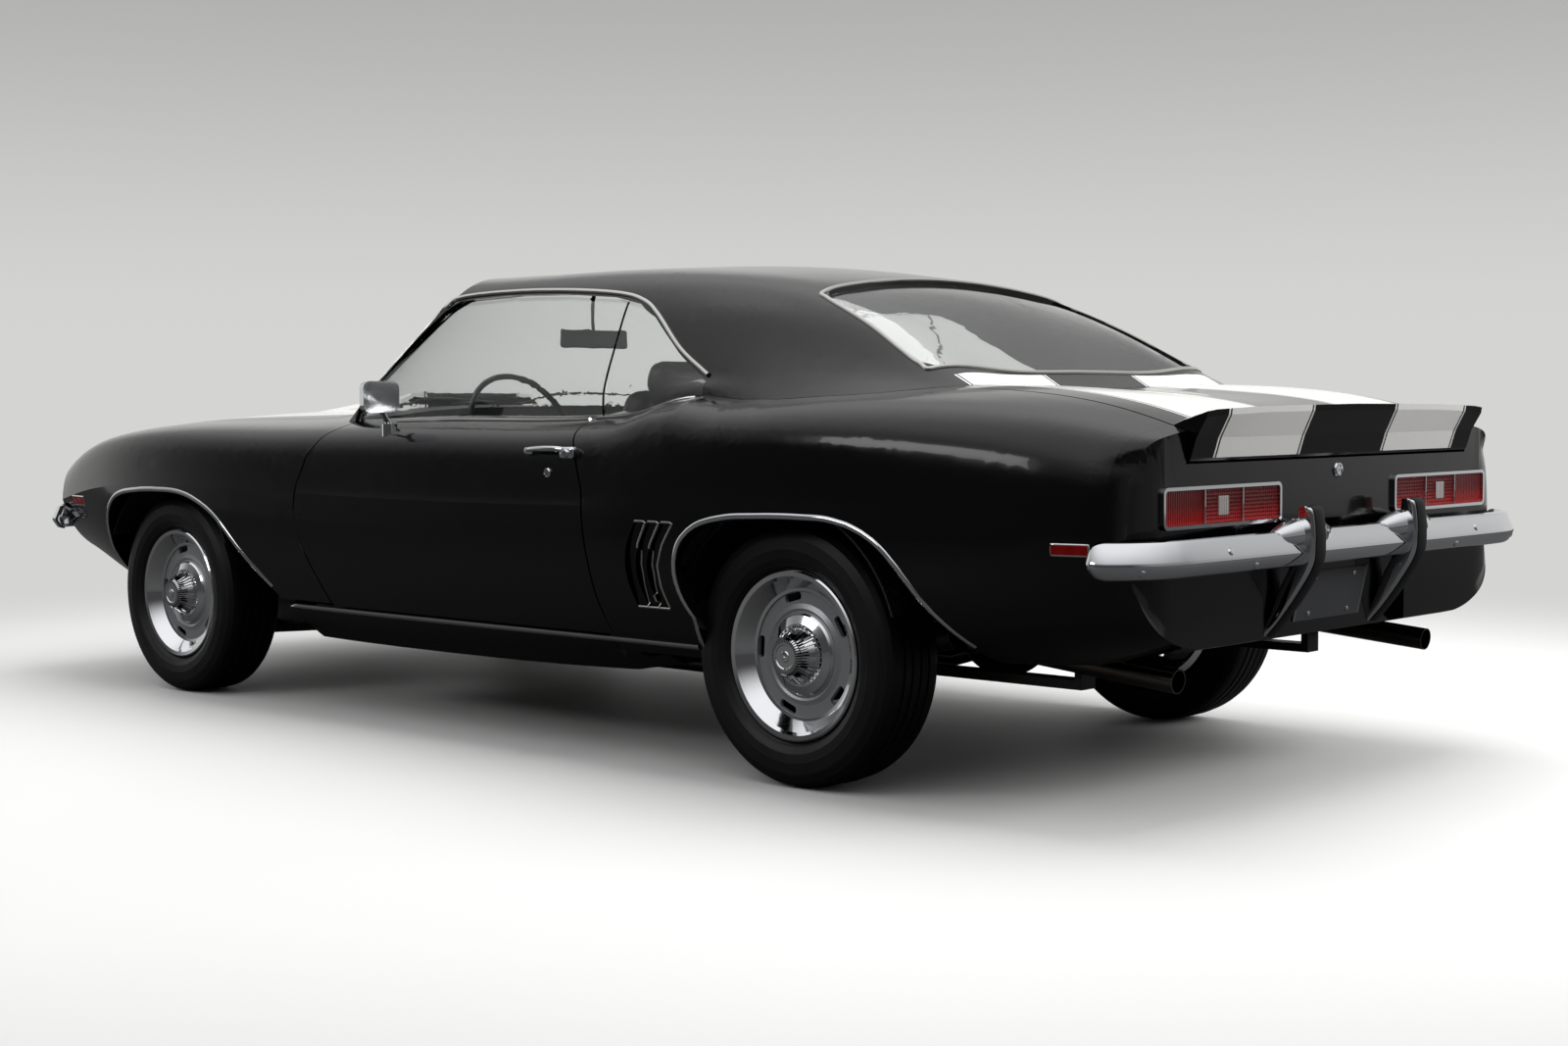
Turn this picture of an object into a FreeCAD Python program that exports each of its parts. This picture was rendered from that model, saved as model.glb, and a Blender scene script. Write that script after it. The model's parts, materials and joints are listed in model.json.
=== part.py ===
"""A two-door hardtop muscle car of the late 1960s, black with two white stripes.

Frame: +X forward, +Y to the car's left, +Z up, millimetres, the tyres standing on Z = 0.
Every piece is a separate closed solid in its own STEP file.
"""
import FreeCAD
import Part
import math
import os

V = FreeCAD.Vector
ORIGIN = V(0, 0, 0)
X_AXIS = V(1, 0, 0)
Y_AXIS = V(0, 1, 0)
Z_AXIS = V(0, 0, 1)
FAR = 3000.0

# Driving dimensions: stance and wheels
wheelbase = 2743.0
front_axle_x = 1427.0
rear_axle_x = front_axle_x - wheelbase
half_track = 757.0
tyre_radius = 322.0
tyre_width = 208.0
rim_radius = 196.0
rim_width = 178.0
hub_z = tyre_radius
spindle_radius = 15.0
pin_radius = 5.0
running_fit = 0.05
kingpin_y = 715.0

# Driving dimensions: body
panel_gap = 6.0
skin = 30.0
lid_thickness = 24.0
roof_thickness = 38.0
glass_thickness = 6.0
tail_x = -2300.0
mouth_low = 520.0
mouth_top = 700.0
mouth_half = 708.0
nose_x = 2312.0
nose_bow_radius = 2700.0
sill_top = 335.0
door_inner_y = 725.0

# Driving dimensions: windscreen plane, given at the belt
screen_x = 873.0
screen_z = 924.0
screen_rake = 1.327
screen_bow_radius = 1014.0

# Driving dimensions: hinges
door_hinge_x = 675.0
door_hinge_y = 884.0
hood_hinge_x = 700.0
hood_hinge_z = 800.0
decklid_hinge_x = -1712.0
decklid_hinge_z = 936.0
decklid_roll = 45.0
arm_y = 632.0

# Driving dimensions: lamps, bumpers, plate
lamp_inner_y = 272.0
lamp_outer_y = 735.0
lamp_low = 662.0
lamp_top = 738.0
lamp_rim = 8.0
reverse_lens = 44.0
rear_bumper_z = 594.0
front_bumper_z = 547.0
guard_inner_y = 214.0
guard_outer_y = 266.0
valance_top = 550.0
recess_half = 330.0
plate_half = 152.0
headlamp_y = 592.0
headlamp_z = 610.0
headlamp_radius = 80.0

# Driving dimensions: wheels, heights along the axle from the middle of the rim
trim_ring_inner = 158.0
disc_height = 43.0
slot_count = 5
slot_radius = 142.0
cap_rib_count = 36
cap_height = 113.0

# Driving dimensions: gills behind the doors
gill_count = 3
gill_pitch = 39.5
gill_spread = 9.5
gill_depth = 14.0
gill_low = 424.0
gill_top = 633.0

# Driving dimensions: door mirror
mirror_x = 225.0
mirror_y = 915.0
mirror_z = 953.0
mirror_turn = 10.0

# Driving dimensions: cabin
seat_y = 360.0
seat_half = 240.0
seat_top = 400.0
seat_tilt = 18.0
soft_clearance = 0.3
wheelhouse_inner_y = 555.3
bench_half = wheelhouse_inner_y - soft_clearance
wheel_hub_x = 250.0
wheel_hub_z = 840.0
column_tilt = 24.0

# Body sections, one row for each station along X.  Each row holds the half section as (y, z):
# sill edge, lower side, crease, upper side, below the shoulder, shoulder, deck edge, centre line.
BODY = [
    (-2420, (560, 420), (755, 500), (822, 614), (812, 715), (786, 772), (735, 806), (664, 824), (0, 850)),
    (-2300, (592, 388), (800, 480), (868, 625), (858, 738), (834, 800), (788, 836), (714, 856), (0, 888)),
    (-2130, (640, 352), (848, 452), (907, 650), (898, 770), (872, 840), (822, 878), (746, 900), (0, 926)),
    (-1900, (688, 318), (878, 428), (931, 662), (921, 790), (896, 866), (842, 908), (766, 932), (0, 948)),
    (-1650, (715, 288), (892, 418), (942, 672), (931, 800), (907, 880), (852, 922), (774, 945), (0, 962)),
    (-1316, (725, 262), (899, 410), (946, 678), (934, 806), (911, 884), (856, 924), (778, 946), (0, 962)),
    (-950, (742, 242), (899, 396), (939, 676), (926, 794), (902, 868), (846, 904), (768, 926), (0, 946)),
    (-560, (760, 227), (895, 387), (930, 668), (915, 776), (890, 845), (834, 878), (764, 896), (0, 914)),
    (0, (770, 219), (893, 384), (926, 664), (911, 770), (886, 840), (830, 874), (760, 892), (0, 910)),
    (500, (770, 219), (893, 384), (930, 668), (915, 770), (890, 836), (834, 866), (762, 882), (0, 922)),
    (900, (765, 225), (896, 393), (938, 674), (924, 770), (899, 832), (842, 862), (762, 876), (0, 926)),
    (1427, (740, 245), (890, 408), (938, 678), (926, 772), (902, 832), (844, 860), (758, 872), (0, 914)),
    (1750, (690, 285), (852, 428), (915, 664), (904, 756), (880, 814), (820, 840), (734, 853), (0, 896)),
    (1980, (640, 335), (804, 450), (878, 638), (868, 722), (844, 778), (786, 805), (702, 819), (0, 868)),
    (2130, (605, 375), (770, 470), (846, 615), (836, 686), (812, 736), (756, 763), (674, 780), (0, 838)),
    (2270, (580, 410), (742, 488), (810, 596), (800, 645), (776, 685), (722, 711), (642, 729), (0, 796)),
    (2420, (560, 440), (710, 504), (770, 578), (760, 610), (738, 638), (688, 658), (610, 673), (0, 744)),
]
BODY_INWARD = [(-1, 1), (-1, 0.1), (-1, 0), (-0.98, -0.15), (-0.92, -0.4), (-0.65, -0.75), (-0.3, -0.95),
               (0, -1)]

# Greenhouse sections in the same way: two points inside the body, the foot of the side, the side,
# the rail, the top and the crown.  Behind the doors the foot flares out into the quarter panel.
ROOF = [
    (1050, (752, 780), (748, 880), (742, 925), (684, 1060), (596, 1180), (400, 1238), (0, 1262)),
    (600, (758, 780), (756, 890), (752, 930), (690, 1098), (594, 1246), (400, 1292), (0, 1310)),
    (200, (762, 780), (761, 890), (758, 930), (694, 1108), (598, 1263), (400, 1308), (0, 1324)),
    (-300, (766, 780), (765, 890), (762, 930), (698, 1106), (602, 1261), (400, 1309), (0, 1326)),
    (-700, (774, 780), (772, 890), (765, 936), (700, 1096), (600, 1243), (400, 1293), (0, 1312)),
    (-1000, (806, 780), (800, 880), (768, 952), (694, 1076), (586, 1204), (390, 1256), (0, 1276)),
    (-1225, (838, 780), (830, 890), (768, 966), (684, 1052), (576, 1146), (380, 1196), (0, 1218)),
    (-1400, (846, 780), (838, 892), (764, 958), (672, 1016), (572, 1080), (380, 1112), (0, 1124)),
    (-1560, (838, 780), (828, 888), (744, 944), (660, 974), (572, 1004), (380, 1012), (0, 1014)),
    (-1700, (800, 780), (790, 870), (716, 912), (640, 930), (556, 938), (380, 938), (0, 936)),
    (-1850, (760, 780), (740, 840), (680, 868), (600, 882), (500, 888), (300, 888), (0, 888)),
]
ROOF_INWARD = [(-1, 0), (-1, 0), (-1, 0), (-0.9, -0.4), (-0.7, -0.75), (-0.2, -1), (0, -1)]

# Side window outline in side view, closed along the belt inside the doors
SIDE_WINDOW = [
    (520, 918), (428, 1020), (338, 1118), (252, 1205), (205, 1232), (-5, 1240), (-260, 1234),
    (-480, 1218), (-590, 1196), (-650, 1158), (-728, 1062), (-806, 975), (-812, 860), (560, 860),
]

# Wheel openings, relative to the axle along X and to the ground along Z
FRONT_ARCH = [
    (362, 150), (350, 440), (322, 552), (262, 618), (150, 648), (-60, 657), (-190, 650),
    (-296, 622), (-382, 580), (-460, 512), (-540, 436), (-628, 346), (-720, 150),
]
REAR_ARCH = [
    (205, 200), (224, 330), (268, 402), (296, 481), (298, 545), (262, 604), (150, 645), (20, 655),
    (-120, 657), (-230, 650), (-345, 607), (-418, 540), (-482, 461), (-560, 368), (-680, 200),
]


def box(x0, x1, y0, y1, z0, z1):
    low = V(min(x0, x1), min(y0, y1), min(z0, z1))
    return Part.makeBox(abs(x1 - x0), abs(y1 - y0), abs(z1 - z0), low)


def rounded_box(x0, x1, y0, y1, z0, z1, radius):
    block = box(x0, x1, y0, y1, z0, z1)
    return block.makeFillet(radius, block.Edges)


def cylinder(start, end, radius):
    axis = end.sub(start)
    return Part.makeCylinder(radius, axis.Length, start, axis)


def tube(start, end, radius, wall):
    return cylinder(start, end, radius).cut(cylinder(start, end, radius - wall))


def fused(shapes):
    first = shapes[0]
    if len(shapes) == 1:
        return first
    return first.multiFuse(shapes[1:]).removeSplitter()


def mirrored(shape):
    return shape.mirror(ORIGIN, Y_AXIS)


def both_sides(shape):
    return Part.makeCompound([shape, mirrored(shape)])


def polygon_face(points):
    return Part.Face(Part.makePolygon(points + [points[0]]))


def side_prism(outline, y0, y1, smooth=False):
    """A prism along Y from an outline in side view."""
    points = [V(x, y0, z) for x, z in outline]
    if smooth:
        curve = Part.BSplineCurve()
        curve.interpolate(points)
        closing = Part.LineSegment(points[-1], points[0])
        face = Part.Face(Part.Wire([curve.toShape(), closing.toShape()]))
    else:
        face = polygon_face(points)
    return face.extrude(V(0, y1 - y0, 0))


def plan_prism(outline, z0, z1):
    return polygon_face([V(x, y, z0) for x, y in outline]).extrude(V(0, 0, z1 - z0))


def front_prism(outline, x0, x1):
    return polygon_face([V(x0, y, z) for y, z in outline]).extrude(V(x1 - x0, 0, 0))


def revolved(profile, centre, axis, radial, start=0.0, sweep=360.0):
    """Revolve (radius, height) pairs about an axis through the centre."""
    unit = V(radial)
    unit.normalize()
    up = V(axis)
    up.normalize()
    points = [centre + unit * r + up * h for r, h in profile]
    face = polygon_face(points)
    if start:
        face.rotate(centre, up, start)
    return face.revolve(centre, up, sweep)


def half_points(row, inward, inset):
    return [(y + inset * dy, z + inset * dz) for (y, z), (dy, dz) in zip(row[1:], inward)]


def spline_edge(points):
    curve = Part.BSplineCurve()
    curve.interpolate(points)
    return curve.toShape()


def body_wire(x, half):
    """Sill line, lower side, one smooth curve over the top, lower side: the crease is an edge."""
    right = [V(x, -y, z) for y, z in half]
    left = [V(x, y, z) for y, z in half]
    lower_right = spline_edge(right[:3])
    top = spline_edge(right[2:-1] + [left[-1]] + left[-2:1:-1])
    lower_left = spline_edge(left[2::-1])
    base = Part.LineSegment(left[0], right[0]).toShape()
    return Part.Wire([lower_right, top, lower_left, base])


def roof_wire(x, half):
    right = [V(x, -y, z) for y, z in half[:-1]]
    left = [V(x, y, z) for y, z in reversed(half[:-1])]
    top = spline_edge(right + [V(x, 0, half[-1][1])] + left)
    base = Part.LineSegment(left[-1], right[0]).toShape()
    return Part.Wire([top, base])


def body_loft(inset=0.0):
    wires = [body_wire(row[0], half_points(row, BODY_INWARD, inset)) for row in BODY]
    return Part.makeLoft(wires, True, False)


def roof_loft(inset=0.0):
    wires = [roof_wire(row[0], half_points(row, ROOF_INWARD, inset)) for row in ROOF]
    return Part.makeLoft(wires, True, False)


def ahead_of_screen(offset=0.0):
    """Everything ahead of the bowed and raked windscreen surface."""
    reach = 850.0
    radius = screen_bow_radius
    low = 600.0
    high = 1500.0
    base_x = screen_x + offset - screen_rake * (low - screen_z)
    back = base_x - radius + math.sqrt(radius ** 2 - reach ** 2)
    arc = Part.Arc(V(back, -reach, low), V(base_x, 0, low), V(back, reach, low)).toShape()
    corners = [V(back, reach, low), V(FAR, reach, low), V(FAR, -reach, low), V(back, -reach, low)]
    lines = [Part.LineSegment(corners[i], corners[i + 1]).toShape() for i in range(3)]
    face = Part.Face(Part.Wire([arc] + lines))
    return face.extrude(V(-screen_rake * (high - low), 0, high - low))


def ahead_of_nose(offset=0.0):
    """Everything ahead of the nose, bowed in plan."""
    reach = 1100.0
    tip = nose_x + offset
    back = tip - nose_bow_radius + math.sqrt(nose_bow_radius ** 2 - reach ** 2)
    arc = Part.Arc(V(back, -reach, 0), V(tip, 0, 0), V(back, reach, 0)).toShape()
    corners = [V(back, reach, 0), V(FAR, reach, 0), V(FAR, -reach, 0), V(back, -reach, 0)]
    lines = [Part.LineSegment(corners[i], corners[i + 1]).toShape() for i in range(3)]
    return Part.Face(Part.Wire([arc] + lines)).extrude(V(0, 0, 1500))


def door_zone(grow):
    """The space of the left door and its glass, cut by revolving outlines about the hinge."""
    front = [(200, 175), (335, 150), (420, 128), (520, 92), (620, 73), (700, 69), (780, 96),
             (840, 144), (880, 186), (930, 176), (1300, 176)]
    rear = [(1300, 1218), (960, 1222), (900, 1229), (800, 1284), (709, 1321), (520, 1360),
            (335, 1379), (200, 1390)]
    low = sill_top - grow
    profile = [(r - grow, z) for z, r in front if z > sill_top]
    profile.insert(0, (150 - grow, low))
    outer = [(r + grow, z) for z, r in rear if z > sill_top]
    outer.append((1379 + grow, low))
    centre = V(door_hinge_x, door_hinge_y, 0)
    ring = revolved(profile + outer, centre, Z_AXIS, V(-1, 0, 0), -50.0, 100.0)
    keep = box(door_hinge_x - 20 + grow, -FAR, door_inner_y - 120, 1200, 0, 1400)
    return ring.common(keep)


def hood_zone(grow):
    """The space of the hood: its plan outline revolved about the hinge line."""
    half = [(128, 655), (174, 560), (222, 420), (262, 220), (274, 0)]
    rear = [(r - grow, y) for r, y in half]
    rear[0] = (rear[0][0], rear[0][1] + grow)
    front = [(1505 + grow, 0), (1490 + grow, 300), (1440 + grow, 585 + grow), (700, 648 + grow)]
    outline = list(reversed(rear)) + front[::-1]
    right = [(r, -y) for r, y in reversed(outline)][:-1]
    centre = V(hood_hinge_x, 0, hood_hinge_z)
    profile = outline + right
    return revolved(profile, centre, Y_AXIS, X_AXIS, -52.0, 60.0)


def decklid_zone(grow):
    width = 640.0 + grow
    centre_y = V(decklid_hinge_x, -width, decklid_hinge_z)
    roll = cylinder(centre_y, V(decklid_hinge_x, width, decklid_hinge_z), decklid_roll + grow)
    outline = [(decklid_hinge_x, 800 - grow), (tail_x - 200, 800 - grow), (tail_x - 200, 1100),
               (decklid_hinge_x, 1100)]
    slab = side_prism(outline, -width, width)
    roll = roll.common(box(decklid_hinge_x - 10, decklid_hinge_x + 100, -FAR, FAR, 860, 1100))
    return fused([slab, roll])


def well(axle_x, radius, y0, y1):
    return cylinder(V(axle_x, y0, hub_z), V(axle_x, y1, hub_z), radius)


def biggest(shape):
    return sorted(shape.Solids, key=lambda solid: solid.Volume)[-1]


def offset_prism(outline, y0, y1, offset):
    """A prism along Y from a side outline moved outwards by the offset."""
    wire = Part.makePolygon([V(x, y0, z) for x, z in outline + [outline[0]]])
    wire = wire.makeOffset2D(offset, 2)
    return Part.Face(wire).extrude(V(0, y1 - y0, 0))


def loft_shell(outer_inset, thickness):
    """A sheet that follows the greenhouse surface."""
    return roof_loft(outer_inset).cut(roof_loft(outer_inset + thickness))


def swept_blade(path_points, profile):
    """Sweep a closed (depth, height) profile along a plan curve, depth towards the curve's left."""
    curve = Part.BSplineCurve()
    curve.interpolate(path_points)
    path = Part.Wire([curve.toShape()])
    tangent = curve.tangent(curve.FirstParameter)[0]
    side = Z_AXIS.cross(tangent)
    start = path_points[0]
    points = [start + side * d + Z_AXIS * h for d, h in profile]
    section = Part.makePolygon(points + [points[0]])
    return path.makePipeShell([section], True, False)


def gill_cutter(i):
    """One curved gill: flush at its front, deepest at the bright rear edge, bowed forwards."""
    sections = []
    for share, bow in ((0.0, 0.0), (0.25, 12.0), (0.5, 17.0), (0.75, 6.0), (1.0, -20.0)):
        z = gill_low + share * (gill_top - gill_low)
        rear = -883.0 - gill_pitch * i + bow - gill_spread * i * max(0.0, share - 0.5) * 2.0
        face = 899.0 + 37.0 * (z - 396.0) / 280.0 + 4.0
        line = [(rear, face - gill_depth), (rear + 36.0, face), (rear + 36.0, face + 60.0), (rear, face + 60.0)]
        sections.append(Part.makePolygon([V(x, y, z) for x, y in line + line[:1]]))
    return Part.makeLoft(sections, True, False)


pieces = {}


def keep(name, shape):
    pieces[name] = shape


def build_body():
    trim = box(tail_x, FAR, -FAR, FAR, 0, 1500).cut(ahead_of_nose())
    inner_trim = box(tail_x + 20, FAR, -FAR, FAR, 0, 1500).cut(ahead_of_nose(-26))
    outer = body_loft().common(trim)
    shell = outer.cut(body_loft(skin).common(inner_trim))
    lids = body_loft(lid_thickness)

    front_arch = side_prism([(front_axle_x + x, z) for x, z in FRONT_ARCH], 400, 1100, True)
    rear_arch = side_prism([(rear_axle_x + x, z) for x, z in REAR_ARCH], 600, 1100, True)
    cutters = [front_arch, rear_arch, well(front_axle_x, 385, 480, 882)]
    cutters.append(well(rear_axle_x, 372, 560, 882))
    door_cut = door_zone(panel_gap)
    cutters.append(door_cut)
    cutters = cutters + [mirrored(c) for c in cutters]
    hood_cut = hood_zone(panel_gap).common(box(-FAR, FAR, -FAR, FAR, 500, 1500))
    shell = shell.cut(hood_cut).cut(decklid_zone(panel_gap))
    shell = shell.cut(cutters)

    # Panels of the lower body, split where the real ones meet
    fender = shell.common(box(480, 2085, 500, 1000, 342, 1000))
    fender = fender.cut(box(0, 745, 400, 745, 0, 1200)).cut(box(0, 1200, 400, 640.3, 0, 1200))
    fender = fender.cut(box(610, 694, 840, 912, 600, 722))
    keep("fenders", both_sides(biggest(fender)))
    nose = shell.common(box(2085.3, FAR, -FAR, FAR, mouth_low + 0.3, 1200))
    keep("header_panel", nose.cut(box(2000, FAR, -mouth_half, mouth_half, 0, mouth_top)))
    keep("front_valance", shell.common(box(2085.3, FAR, -FAR, FAR, 0, mouth_low)))
    cowl = shell.common(box(480, 1100, -744.7, 744.7, 700, 1200))
    cowl = cowl.cut([box(744.7, 1200, 640, 1000, 0, 1200), box(744.7, 1200, -640, -1000, 0, 1200)])
    keep("cowl_panel", biggest(cowl.common(ahead_of_screen(-30))))
    dash_pad = biggest(cowl.cut(ahead_of_screen(-30.3)))
    keep("dashboard", dash_pad)
    quarter = shell.common(box(-480, tail_x + 40, 640.3, 1000, 342, 1200))
    pin = cylinder(V(decklid_hinge_x, 614, decklid_hinge_z), V(decklid_hinge_x, 665, decklid_hinge_z), pin_radius)
    quarter = fused([biggest(quarter), pin])
    quarter = quarter.cut([gill_cutter(i) for i in range(gill_count)])
    keep("quarter_panels", both_sides(biggest(quarter)))
    shelf = shell.common(box(-1240, tail_x, -640, 640, 800, 1200)).common(
        box(-1240, -1760, -FAR, FAR, 0, 1200))
    keep("rear_shelf", biggest(shelf))
    tail = shell.common(box(tail_x, tail_x + 39.7, -FAR, FAR, 0, 1200))
    valance = tail.common(box(-FAR, 0, -FAR, FAR, 0, valance_top - 0.3))
    recess = side_prism([(tail_x - 9, valance_top + 2), (tail_x, valance_top + 2), (tail_x + 50, 330),
                         (tail_x - 9, 330)], -recess_half, recess_half)
    back = side_prism([(tail_x, valance_top - 0.3), (tail_x + 5, valance_top - 0.3), (tail_x + 43, 382),
                       (tail_x + 38, 382)], -recess_half - 4, recess_half + 4)
    keep("rear_valance", fused([valance.cut(recess), back]))
    tail = tail.common(box(-FAR, 0, -FAR, FAR, valance_top, 1200))
    lamps = lamp_block(lamp_rim + 0.5, 60, 16)
    keep("tail_panel", tail.cut([lamps, mirrored(lamps)]))
    floor = biggest(shell.common(box(-680, 796.7, -FAR, FAR, 0, 329)))
    tunnel_line = [(796, 200), (796, 540), (420, 540), (330, 470), (-680, 430), (-680, 200)]
    tunnel = side_prism(tunnel_line, -116, 116)
    hollow = side_prism([(900, 100), (900, 534), (422, 534), (332, 464), (-700, 424), (-700, 100)], -110, 110)
    keep("floor_pan", fused([floor, tunnel]).cut(hollow))

    # Opening panels
    hood = outer.cut(lids).common(hood_zone(0.0).common(box(-FAR, FAR, -FAR, FAR, 500, 1500)))
    hood = biggest(hood)
    scoop_rows = []
    for x, z_low, z_top, half_low, half_top in ((2010, 835, 861, 210, 185), (945, 905, 970, 318, 262)):
        edge = (half_low - half_top) * 0.35
        half = [(half_low, z_low), (half_low - edge, z_top - 22), (half_top, z_top - 5), (half_top - 30, z_top)]
        ring = [V(x, y, z) for y, z in half] + [V(x, -y, z) for y, z in reversed(half)]
        scoop_rows.append(Part.makePolygon(ring + [ring[0]]))
    scoop = Part.makeLoft(scoop_rows, True, True)
    mouth_rows = []
    for x, z_low, z_top, half_low, half_top in ((1500, 900, 905, 200, 190), (930, 932, 958, 290, 252)):
        ring = [V(x, half_low, z_low), V(x, half_top, z_top), V(x, -half_top, z_top), V(x, -half_low, z_low)]
        mouth_rows.append(Part.makePolygon(ring + [ring[0]]))
    scoop = scoop.common(hood_zone(0.0)).common(box(0, FAR, -FAR, FAR, 880 - 60, 1200))
    scoop = scoop.cut(Part.makeLoft(mouth_rows, True, True))
    arm_line = [(690, 792), (700, 788), (850, 668), (905, 668), (905, 885), (875, 885), (875, 700), (855, 692),
                (710, 810), (694, 810)]
    arm = side_prism(arm_line, arm_y - 4, arm_y + 4).fuse(cylinder(V(700, arm_y - 4, 800), V(700, arm_y + 4, 800), 14))
    eye = cylinder(V(hood_hinge_x, arm_y - 9, hood_hinge_z), V(hood_hinge_x, arm_y + 9, hood_hinge_z), 5 + running_fit)
    arm = arm.cut(eye).common(body_loft(lid_thickness / 2.0))
    keep("hood", fused([hood, scoop, arm, mirrored(arm)]))
    lid_core = lids.common(box(tail_x + 20, FAR, -FAR, FAR, 0, 1500))
    decklid = biggest(outer.cut(lid_core).common(decklid_zone(0.0)))
    pin_bore = cylinder(V(decklid_hinge_x, 600, decklid_hinge_z), V(decklid_hinge_x, 700, decklid_hinge_z),
                        pin_radius + running_fit)
    keep("decklid", decklid.cut([pin_bore, mirrored(pin_bore)]))
    slab = outer.common(box(-FAR, FAR, door_inner_y, 1000, 0, 1200))
    door = biggest(slab.common(door_zone(0.0)))
    for z in (622, 690):
        strap = plan_prism([(door_hinge_x - 7, door_hinge_y - 7), (626, 832), (600, 832), (600, 812), (640, 812),
                            (door_hinge_x + 6, door_hinge_y - 9)], z, z + 16)
        strap = strap.fuse(cylinder(V(door_hinge_x, door_hinge_y, z), V(door_hinge_x, door_hinge_y, z + 16), 11))
        door = door.fuse(strap)
    door = door.cut(cylinder(V(door_hinge_x, door_hinge_y, 500), V(door_hinge_x, door_hinge_y, 800),
                             pin_radius + running_fit))
    keep("door_left", door)
    keep("door_right", mirrored(door))

    # Greenhouse
    above = body_loft(-0.3)
    roof = roof_loft().cut(roof_loft(roof_thickness)).cut(ahead_of_screen())
    window = side_prism(SIDE_WINDOW, 400, 1000)
    low_door = door_cut.common(box(-FAR, FAR, 0, FAR, 0, 897))
    backlight = plan_prism(BACKLIGHT, 900, 1500)
    roof = roof.cut([above, window, mirrored(window), low_door, mirrored(low_door), backlight])
    keep("roof", biggest(roof))
    screen = ahead_of_screen(-8 - glass_thickness / 0.6).cut(ahead_of_screen(-8))
    screen = screen.common(roof_loft(roof_thickness + 0.3)).cut(above)
    fixed_glass = [biggest(screen)]
    sheet = loft_shell(12, glass_thickness)
    rear_glass = sheet.common(box(-1700, -1000, -650, 650, 970, 1400)).cut(above)
    rear_glass = rear_glass.common(plan_prism([(x + (0.4 if x < -1300 else -0.4), y * 0.9993)
                                               for x, y in BACKLIGHT], 900, 1500))
    fixed_glass.append(biggest(rear_glass))
    door_glass = sheet.common(offset_prism(SIDE_WINDOW, 400, 1000, -6)).common(door_zone(0.0))
    door_glass = biggest(door_glass.cut(above))
    keep("door_glass_left", door_glass)
    keep("door_glass_right", mirrored(door_glass))
    quarter_glass = sheet.common(offset_prism(SIDE_WINDOW, 400, 1000, -0.4)).cut(door_cut)
    quarter_glass = biggest(quarter_glass.cut(above))
    keep("fixed_glass", Part.makeCompound(fixed_glass + [quarter_glass, mirrored(quarter_glass)]))


BACKLIGHT = [
    (-1085, 0), (-1090, 250), (-1112, 480), (-1150, 520), (-1500, 585), (-1540, 560),
    (-1566, 300), (-1572, 0), (-1566, -300), (-1540, -560), (-1500, -585), (-1150, -520),
    (-1112, -480), (-1090, -250),
]


def spoiler_solid():
    """The lip spoiler: sections across the car, highest and longest in the middle, with raked ends."""
    rows = []
    for y, foot_x, foot_z, top_z in ((0, -2180, 905, 921), (400, -2185, 892, 918), (600, -2200, 872, 912),
                                     (640, -2214, 858, 908)):
        rows.append((y, [(foot_x, 800), (foot_x, foot_z), (-2290, (foot_z + top_z) / 2.0 + 6), (-2350, top_z),
                         (-2348, top_z - 14), (-2322, 850), (-2308, 806), (-2304, 800)]))
    wires = []
    for y, line in [(-y, line) for y, line in reversed(rows[1:])] + rows:
        points = [V(x, y, z) for x, z in line]
        wires.append(Part.makePolygon(points + [points[0]]))
    return Part.makeLoft(wires, True, True)



def lamp_block(grow, depth, corner):
    """A block round the left tail lamp, with rounded corners in rear view."""
    block = box(tail_x - 50, tail_x + depth, lamp_inner_y - grow, lamp_outer_y + grow, lamp_low - grow, lamp_top + grow)
    long_edges = [e for e in block.Edges if abs(e.Vertexes[0].X - e.Vertexes[1].X) > 1]
    return block.makeFillet(corner, long_edges)


def build_tail_lamps():
    front = box(tail_x - 4, tail_x + 30, 0, 1000, 0, 1000)
    lens = lamp_block(-0.3, 60, 8).common(front)
    third = (lamp_outer_y - lamp_inner_y) / 3.0
    for i in (1, 2):
        y = lamp_inner_y + third * i
        lens = lens.cut(box(tail_x - 50, tail_x + 18, y - 2, y + 2, 0, 1000))
    mid_y = (lamp_inner_y + lamp_outer_y) / 2.0
    mid_z = (lamp_low + lamp_top) / 2.0
    half = reverse_lens / 2.0
    window = box(tail_x - 50, tail_x + 12, mid_y - half, mid_y + half, mid_z - half, mid_z + half)
    white = box(tail_x - 6, tail_x + 11.7, mid_y - half + 0.3, mid_y + half - 0.3, mid_z - half + 0.3,
                mid_z + half - 0.3)
    keep("tail_lamps", both_sides(lens.cut(window)))
    keep("reverse_lamps", both_sides(white.makeFillet(2, white.Edges)))
    bezel = lamp_block(lamp_rim - 0.2, 60, 15).cut(lamp_block(0.0, 60, 8.3))
    bezel = bezel.common(box(tail_x - 9, tail_x + 30, 0, 1000, 0, 1000))
    keep("tail_lamp_bezels", both_sides(bezel))


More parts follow.
